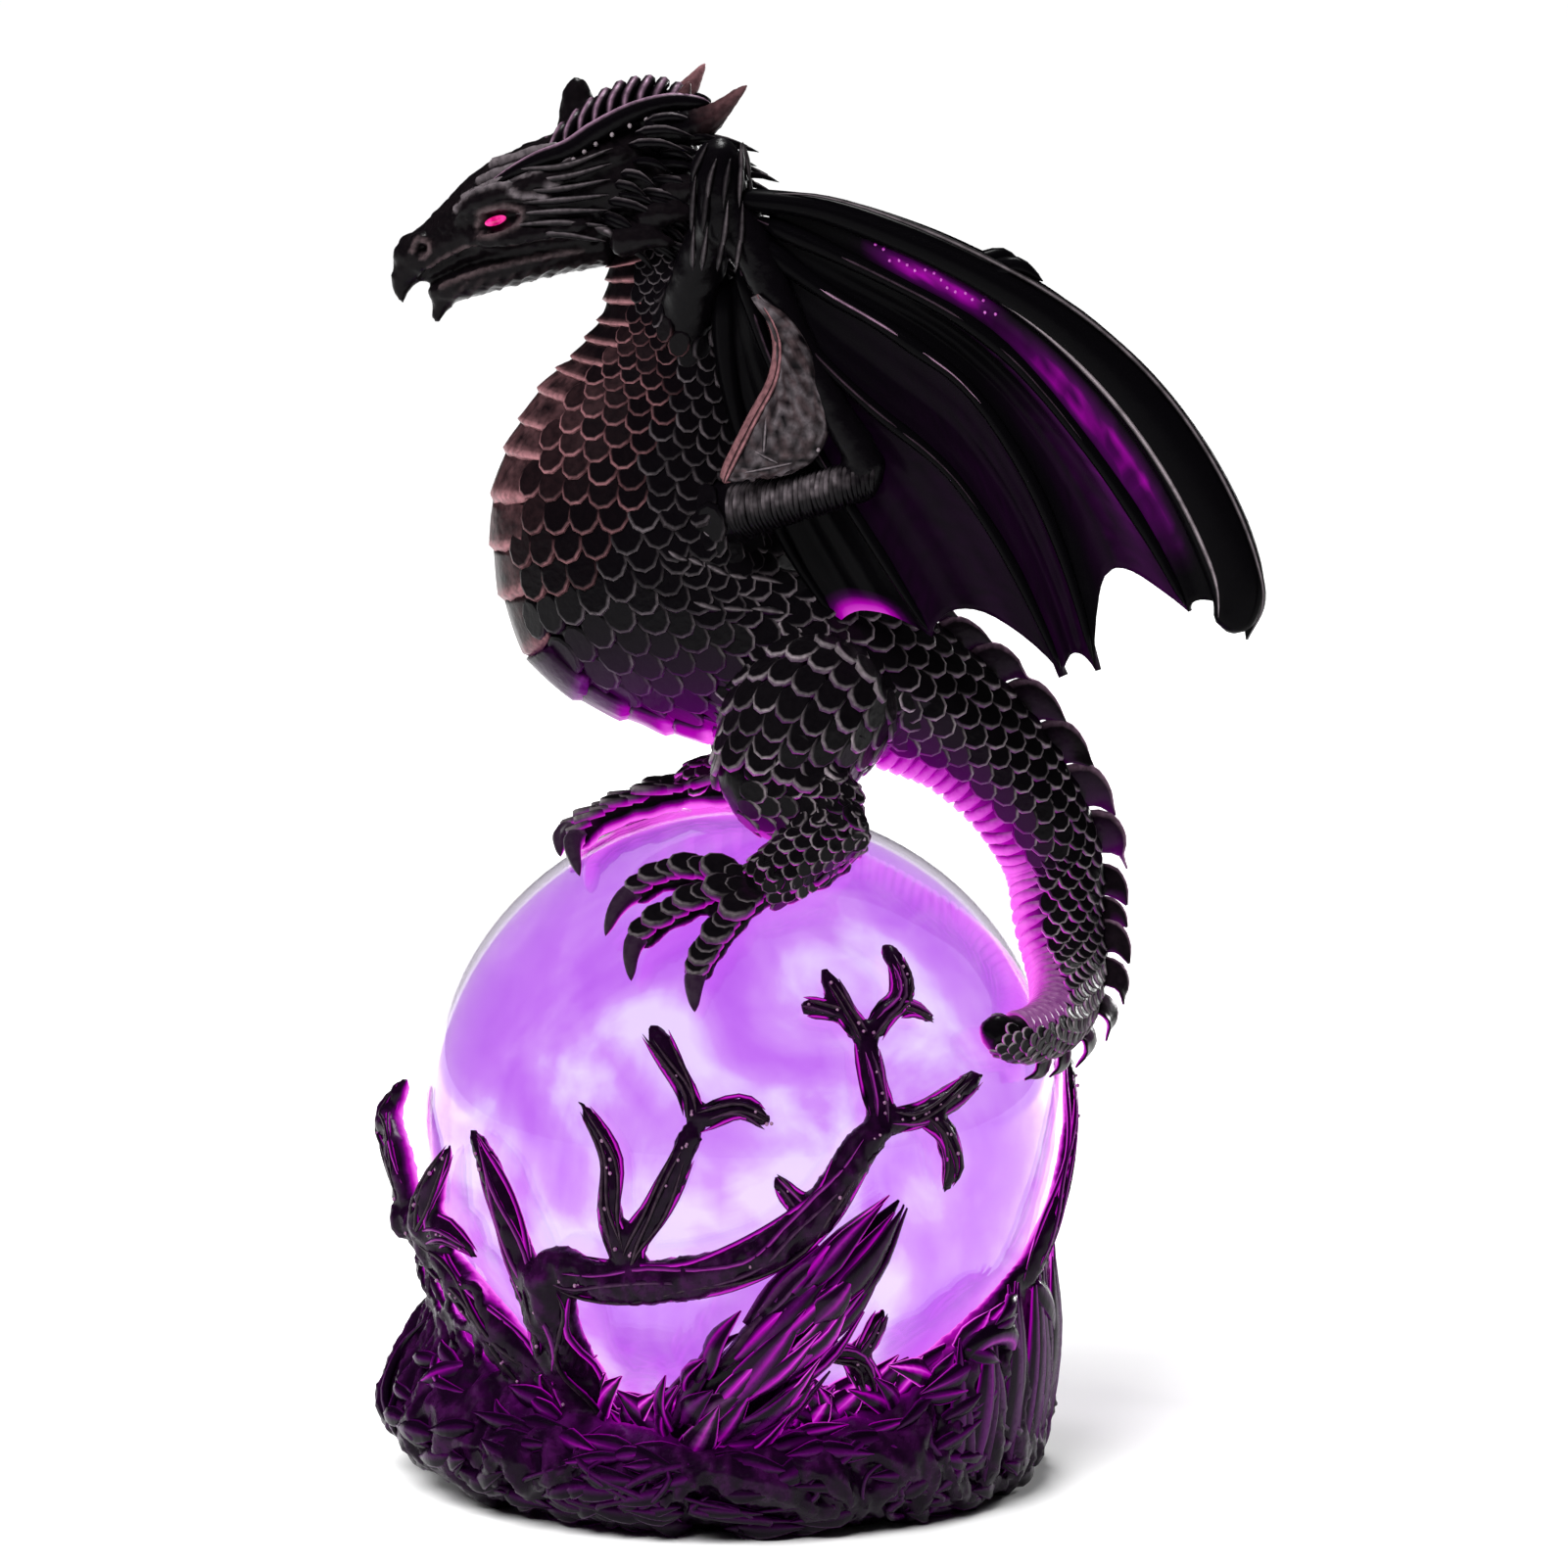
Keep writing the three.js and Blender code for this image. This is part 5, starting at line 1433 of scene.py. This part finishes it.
def budLeaves(heap):
    # The big bud of pointed leaves that leans over the front branch
    axis = [onGlobe(-11, -47, 6.5), onGlobe(-1, -33, 5.6), onGlobe(12, -17, 4.8), onGlobe(26, -2, 2.6)]
    wide, high = [6.2, 7.0, 5.0, 0.8], [3.2, 4.2, 3.2, 0.7]
    limb(heap.room(), axis, [w * 0.8 for w in wide], [h * 0.75 for h in high], sides=12, rings=14,
         facing=fromGlobe)
    for k in range(46):
        s = 0.72 * (k / 45)
        a = math.radians((k * 137.5) % 200 - 100)
        centre, way = pathPoint(axis, s), pathWay(axis, s)
        out = fromGlobe(centre)
        side = way.cross(out).normalized()
        direction = (out * math.cos(a) + side * math.sin(a)).normalized()
        foot = centre + out * math.cos(a) * along(high, s) * 0.8 + side * math.sin(a) * along(wide, s) * 0.8
        ahead = min(s + chance.uniform(0.16, 0.4), 1.02)
        turned = a + chance.uniform(-0.5, 0.5)
        flare = chance.uniform(0.0, 3.6) * (1 - 0.75 * s)
        tip = pathPoint(axis, ahead) + out * math.cos(turned) * (along(high, ahead) + flare * 0.5)
        tip += side * math.sin(turned) * (along(wide, ahead) * 0.9 + flare)
        width, colour = chance.uniform(1.7, 3.0) * (1.1 - 0.5 * s), "plum" if k % 5 else "pink"
        addLeaf(heap.room(), foot, tip, direction, width, 0.8, colour, chance.uniform(0.05, 0.3),
                chance.choice((0.08, 0.3, 0.6, 0.95)), bow=1.2)


def heapedLeaves(heap):
    for k in range(base["leaves"]):
        azimuth = chance.triangular(-64, 52, 12)
        depth = chance.random()  # 0 is against the glass and 1 at the outer edge
        height = around(base["rimHeights"], azimuth) + between(1.0, -5.0, depth ** 2)
        radius = glassRadius(height) + between(2.4, around(base["rimWalls"], azimuth) + 1.4, depth)
        a = math.radians(azimuth)
        foot = Vector((radius * math.sin(a), -radius * math.cos(a), height))
        away = Vector((math.sin(a), -math.cos(a), 0))
        side = Vector((math.cos(a), math.sin(a), 0))
        turn = math.radians(chance.choice((-1, 1, 1)) * chance.uniform(18, 80))
        reach = chance.uniform(6, 13) * between(1, 0.75, depth)
        tip = foot + (side * math.sin(turn) + upwards * math.cos(turn)) * reach
        gap = (tip - statue["globeMiddle"]).length - statue["globeRadius"]
        tip += fromGlobe(tip) * max(1.6 + 3 * depth - gap, 0)
        addLeaf(heap.room(), foot, tip, (away + upwards * 0.35).normalized(), chance.uniform(1.3, 2.5),
                0.7, "plum",
                chance.uniform(0.05, 0.3), between(1.5, 0.4, depth) * chance.uniform(0.2, 1.3), bow=1.3)
    for k in range(130):  # smaller leaves pressed against the front of the cup
        azimuth, share = chance.uniform(-75, 70), chance.uniform(0.12, 1.0)
        turn, reach = chance.choice((-1, 1)) * chance.uniform(6, 13), chance.uniform(-0.16, 0.12)
        foot, tip = onCup(azimuth, share, 0.3), onCup(azimuth + turn, share + reach,
                                                      chance.uniform(0.8, 2.0))
        out = Vector((foot.x, foot.y, 8)).normalized()
        addLeaf(heap.room(), foot, tip, out, chance.uniform(1.1, 1.9), 0.7, "plum",
                chance.uniform(0.02, 0.15), share ** 1.5 * chance.uniform(0.1, 0.7), bow=1.0)


def fineRoots(heap):
    for k in range(base["fineRoots"]):
        azimuth = chance.uniform(-180, 180)
        front = ease(1 - abs(azimuth + 8) / 80)
        drift = chance.uniform(3, 12) * chance.choice((-1, 1)) * (1 + front)
        top, low = chance.uniform(0.35, 1.02), chance.uniform(0.02, 0.4)
        size = chance.uniform(0.35, 0.8)
        line = [onCup(azimuth + drift * s + 4 * math.sin(s * 7 + k), between(top, low, s),
                      0.8 + 0.6 * math.sin(s * 3.1))
                for s in (0, 0.25, 0.5, 0.75, 1)]
        stroke(heap.room(), line, [0.15, size, size * 1.1, size, 0.15], "plum", 0.15, 0.12 * top, sides=6,
               rings=16, crown=True, facing=lambda p: Vector((p.x, p.y, 12)).normalized())


def leafBundles():
    heap = Heap()
    budLeaves(heap)
    heapedLeaves(heap)
    fineRoots(heap)
    for k in range(24):  # tall blades on the right shoulder
        azimuth = between(42, 108, k / 23) + chance.uniform(-2, 2)
        foot = onCup(azimuth, 0.3 + 0.25 * chance.random(), 0.4)
        tip = onCup(azimuth + chance.uniform(-8, 3), 1.02, 0.6) + upwards * chance.uniform(-1, 2.5)
        out = Vector((foot.x, foot.y, 0)).normalized()
        addLeaf(heap.room(), foot, tip, out, chance.uniform(1.6, 2.6), 1.0, "plum", 0.2,
                chance.uniform(0.05, 0.4), bow=1.2)
    curl = [onGlobe(56, -45, 3)]
    for k in range(6):
        turn = k * 1.1 - 0.4
        curl.append(onGlobe(49 + (8 - 1.4 * k) * math.cos(turn), -31 + (5 - 0.9 * k) * math.sin(turn), 4.6))
    stroke(heap.room(), curl, [2.8, 2.4, 2.1, 1.8, 1.6, 1.3, 0.9], "plum", 0.5, 0.4, sides=10, rings=34,
           facing=fromGlobe, crown=True)
    for rows in base["clumps"]:
        foot, tip = onGlobe(rows[0], rows[1], 3.4), onGlobe(rows[2], rows[3], 2.2)
        for turn in (-3, 0, 3):
            away = upwards.cross(fromGlobe(foot)) * turn * 0.7
            addLeaf(heap.room(), foot + away, tip + away * 0.4, fromGlobe(foot), 1.8, 0.9, "plum", 0.4,
                    0.2, bow=1.2)
    return heap.close()


def buildBase():
    core = baseCore()
    weatherBase(core)
    roots = pieceFrom("rootBase", [(meshFrom(core, "roots"), rootResin)])
    return roots, pieceFrom("leavesAndBark", [(mesh, rootResin) for mesh in leafBundles() + barkLines()])


rootBase, leavesAndBark = buildBase()
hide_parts("base")
for piece in (rootBase, leavesAndBark):
    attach(piece, "root")
print("base finished")

# The globe: a clear glass wall round a clouded, glowing core

globe = {
    "wall": 1.1,
    "coreGap": 0.5,
    "segments": 96,
    "rings": 48,
    "glassRoughness": 0.03,
    "glow": 1.0,
    "cloudScale": 34.0,
    "cloudShades": ((0.42, (0.48, 0.09, 0.8)), (0.62, (0.56, 0.16, 0.85)), (0.8, (0.67, 0.31, 0.9)),
                    (1.0, (0.88, 0.76, 1.0))),
    "paleAmount": 0.24,
    "paleFrom": 4.4,
    "paleWidth": 2.4,
}


def makeGlass():
    material, nodes, shader = newMaterial("clearGlass")
    ripple = addNoise(nodes, {"Vector": objectPlace(nodes), "Scale": 26.0, "Detail": 1.0})
    bump = addNode(nodes, "Bump", {"Strength": 0.12, "Distance": 0.0006, "Height": ripple})
    feed(nodes, shader, {
        "Normal": bump.outputs["Normal"],
        "Base Color": (0.93, 0.86, 1.0, 1),
        "Roughness": globe["glassRoughness"],
        "Metallic": 0.0,
        "Transmission Weight": 1.0,
        "IOR": 1.42,
        "Specular IOR Level": 0.3,
    })
    return material


def makeCloud():
    material, nodes, shader = newMaterial("glowingCloud")
    place, scale = objectPlace(nodes), globe["cloudScale"]
    billow = addNoise(nodes,
                      {"Vector": place, "Scale": scale, "Detail": 5.0, "Roughness": 0.5, "Distortion": 1.4})
    wisps = addNoise(nodes, {"Vector": place, "Scale": scale * 3.1, "Detail": 4.0, "Distortion": 0.8})
    mixed = maths(nodes, "MULTIPLY_ADD", wisps, 0.3, billow)
    height = addNode(nodes, "SeparateXYZ", {"Vector": place}).outputs["Z"]
    level = maths(nodes, "ADD", mixed, mapRange(nodes, height, 0.012, 0.06, 0.12, 0.0))  # paler low down
    near = addNode(nodes, "Attribute", attribute_name="lit").outputs["Fac"]
    pale = maths(nodes, "MULTIPLY_ADD", near, globe["paleAmount"], level)
    feed(nodes, shader, {
        "Emission Color": addRamp(nodes, pale, globe["cloudShades"]),
        "Emission Strength": globe["glow"],
        "Base Color": (0.05, 0.01, 0.12, 1),
        "Roughness": 0.6,
    })
    return material


def ball(name, radii, material):
    bm = newShape()
    middle = Matrix.Translation(statue["globeMiddle"])
    for radius in radii:
        bmesh.ops.create_uvsphere(bm, u_segments=globe["segments"], v_segments=globe["rings"],
                                  radius=radius, matrix=middle)
    mesh = meshFrom(bm, name)
    if len(radii) > 1:  # the inner wall faces the hollow
        half = len(mesh.polygons) // 2
        inner = bmesh.new()
        inner.from_mesh(mesh)
        inner.faces.ensure_lookup_table()
        bmesh.ops.reverse_faces(inner, faces=inner.faces[half:])
        inner.to_mesh(mesh)
        inner.free()
    return pieceFrom(name, [(mesh, material)])


def paleNearBranches(piece):
    # The cloud's glow is painted palest close behind the branches, as a halo of light
    spots = []
    for size, path, shares in branches:
        points = branchPath(size, path, shares)[0]
        spots += [pathPoint(points, i / 30) * mm for i in range(31)]
    tree = KDTree(len(spots))
    for i, spot in enumerate(spots):
        tree.insert(spot, i)
    tree.balance()
    pale = piece.data.attributes["lit"]
    for vertex, value in zip(piece.data.vertices, pale.data):
        distance = tree.find(vertex.co)[2] / mm
        value.value = math.exp(-(max(distance - globe["paleFrom"], 0) / globe["paleWidth"]) ** 2)


glassGlobe = ball("glassGlobe", (statue["globeRadius"], statue["globeRadius"] - globe["wall"]), makeGlass())
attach(glassGlobe, "root")
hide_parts("globe")
glowCore = ball("glowCore", (statue["globeRadius"] - globe["wall"] - globe["coreGap"],), makeCloud())
paleNearBranches(glowCore)
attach(glowCore, "root")
print("globe finished")

# Floor, light and camera

studio = {
    "floorSize": 40.0,
    "floorColour": (0.9, 0.9, 0.9, 1),
    "sky": 0.22,
    "backdrop": 1.0,
    "sun": 5.0,
    "sunAngle": 35,
    "lights": [  # place, size, watts, aimed at, mirrored in the glass
        ((-0.95, 0.61, 0.54), 0.6, 6.0, (0, 0, 0.14), False),
        ((0.73, 0.89, 0.33), 0.3, 8.0, (0.03, 0, 0.14), True),
        ((0.1, 0.5, 1.2), 0.4, 9.0, (0, 0, 0.14), True),
    ],
}
camera = {"elevation": 8, "distance": 0.9, "aim": (0.0056, 0, 0.0965), "lens": 36 * 6650 / 1601}


def makeStudio():
    bm = bmesh.new()
    bmesh.ops.create_grid(bm, x_segments=1, y_segments=1, size=studio["floorSize"] / 2)
    floor = bpy.data.objects.new("floor", meshFrom(bm, "floor", smooth=False))
    bpy.context.scene.collection.objects.link(floor)
    pale, nodes, shader = newMaterial("paleFloor")
    feed(nodes, shader, {"Base Color": studio["floorColour"], "Roughness": 0.8})
    floor.data.materials.append(pale)

    # The sky lights the statue from above; the lens sees it, also through the glass, as plain white
    world = bpy.data.worlds.new("studio")
    bpy.context.scene.world = world
    world.use_nodes = True
    nodes = world.node_tree
    soft = nodes.nodes["Background"]
    height = addNode(nodes, "SeparateXYZ",
                     {"Vector": addNode(nodes, "TexCoord").outputs["Generated"]}).outputs["Z"]
    feed(nodes, soft,
         {"Strength": mapRange(nodes, height, 0.1, 1.0, studio["sky"] * 0.3, studio["sky"] * 2.5)})
    white = addNode(nodes, "Background", {"Color": (1, 1, 1, 1), "Strength": studio["backdrop"]})
    path = addNode(nodes, "LightPath").outputs
    seen = maths(nodes, "MAXIMUM", path["Is Camera Ray"], path["Is Transmission Ray"])
    mixed = addNode(nodes, "MixShader", {0: seen, 1: soft.outputs[0], 2: white.outputs[0]})
    feed(nodes, nodes.nodes["World Output"], {"Surface": mixed.outputs[0]})

    sun = bpy.data.lights.new("softSun", "SUN")
    sun.energy, sun.angle = studio["sun"], math.radians(studio["sunAngle"])
    lamp = bpy.data.objects.new("softSun", sun)
    lamp.rotation_euler = (math.radians(32), math.radians(-22), 0)
    lamp.visible_glossy = lamp.visible_transmission = False
    bpy.context.scene.collection.objects.link(lamp)
    for k, (place, size, watts, aim, mirrored) in enumerate(studio["lights"]):
        light = bpy.data.lights.new(f"softBox{k}", "AREA")
        light.energy, light.size, light.shape = watts, size, "DISK"
        box = bpy.data.objects.new(f"softBox{k}", light)
        box.location = place
        box.visible_glossy = box.visible_transmission = mirrored
        box.rotation_euler = (Vector(aim) - Vector(place)).to_track_quat("-Z", "Y").to_euler()
        bpy.context.scene.collection.objects.link(box)

    lens = bpy.data.cameras.new("camera")
    lens.lens, lens.sensor_width = camera["lens"], 36
    lens.clip_start, lens.clip_end = 0.05, 100
    eye = bpy.data.objects.new("camera", lens)
    e = math.radians(camera["elevation"])
    eye.location = Vector(camera["aim"]) + Vector((0, -math.cos(e), math.sin(e))) * camera["distance"]
    eye.rotation_euler = (math.radians(90) - e, 0, 0)
    bpy.context.scene.collection.objects.link(eye)
    bpy.context.scene.camera = eye


makeStudio()
bpy.context.scene.view_settings.view_transform = "Standard"
print("studio ready")
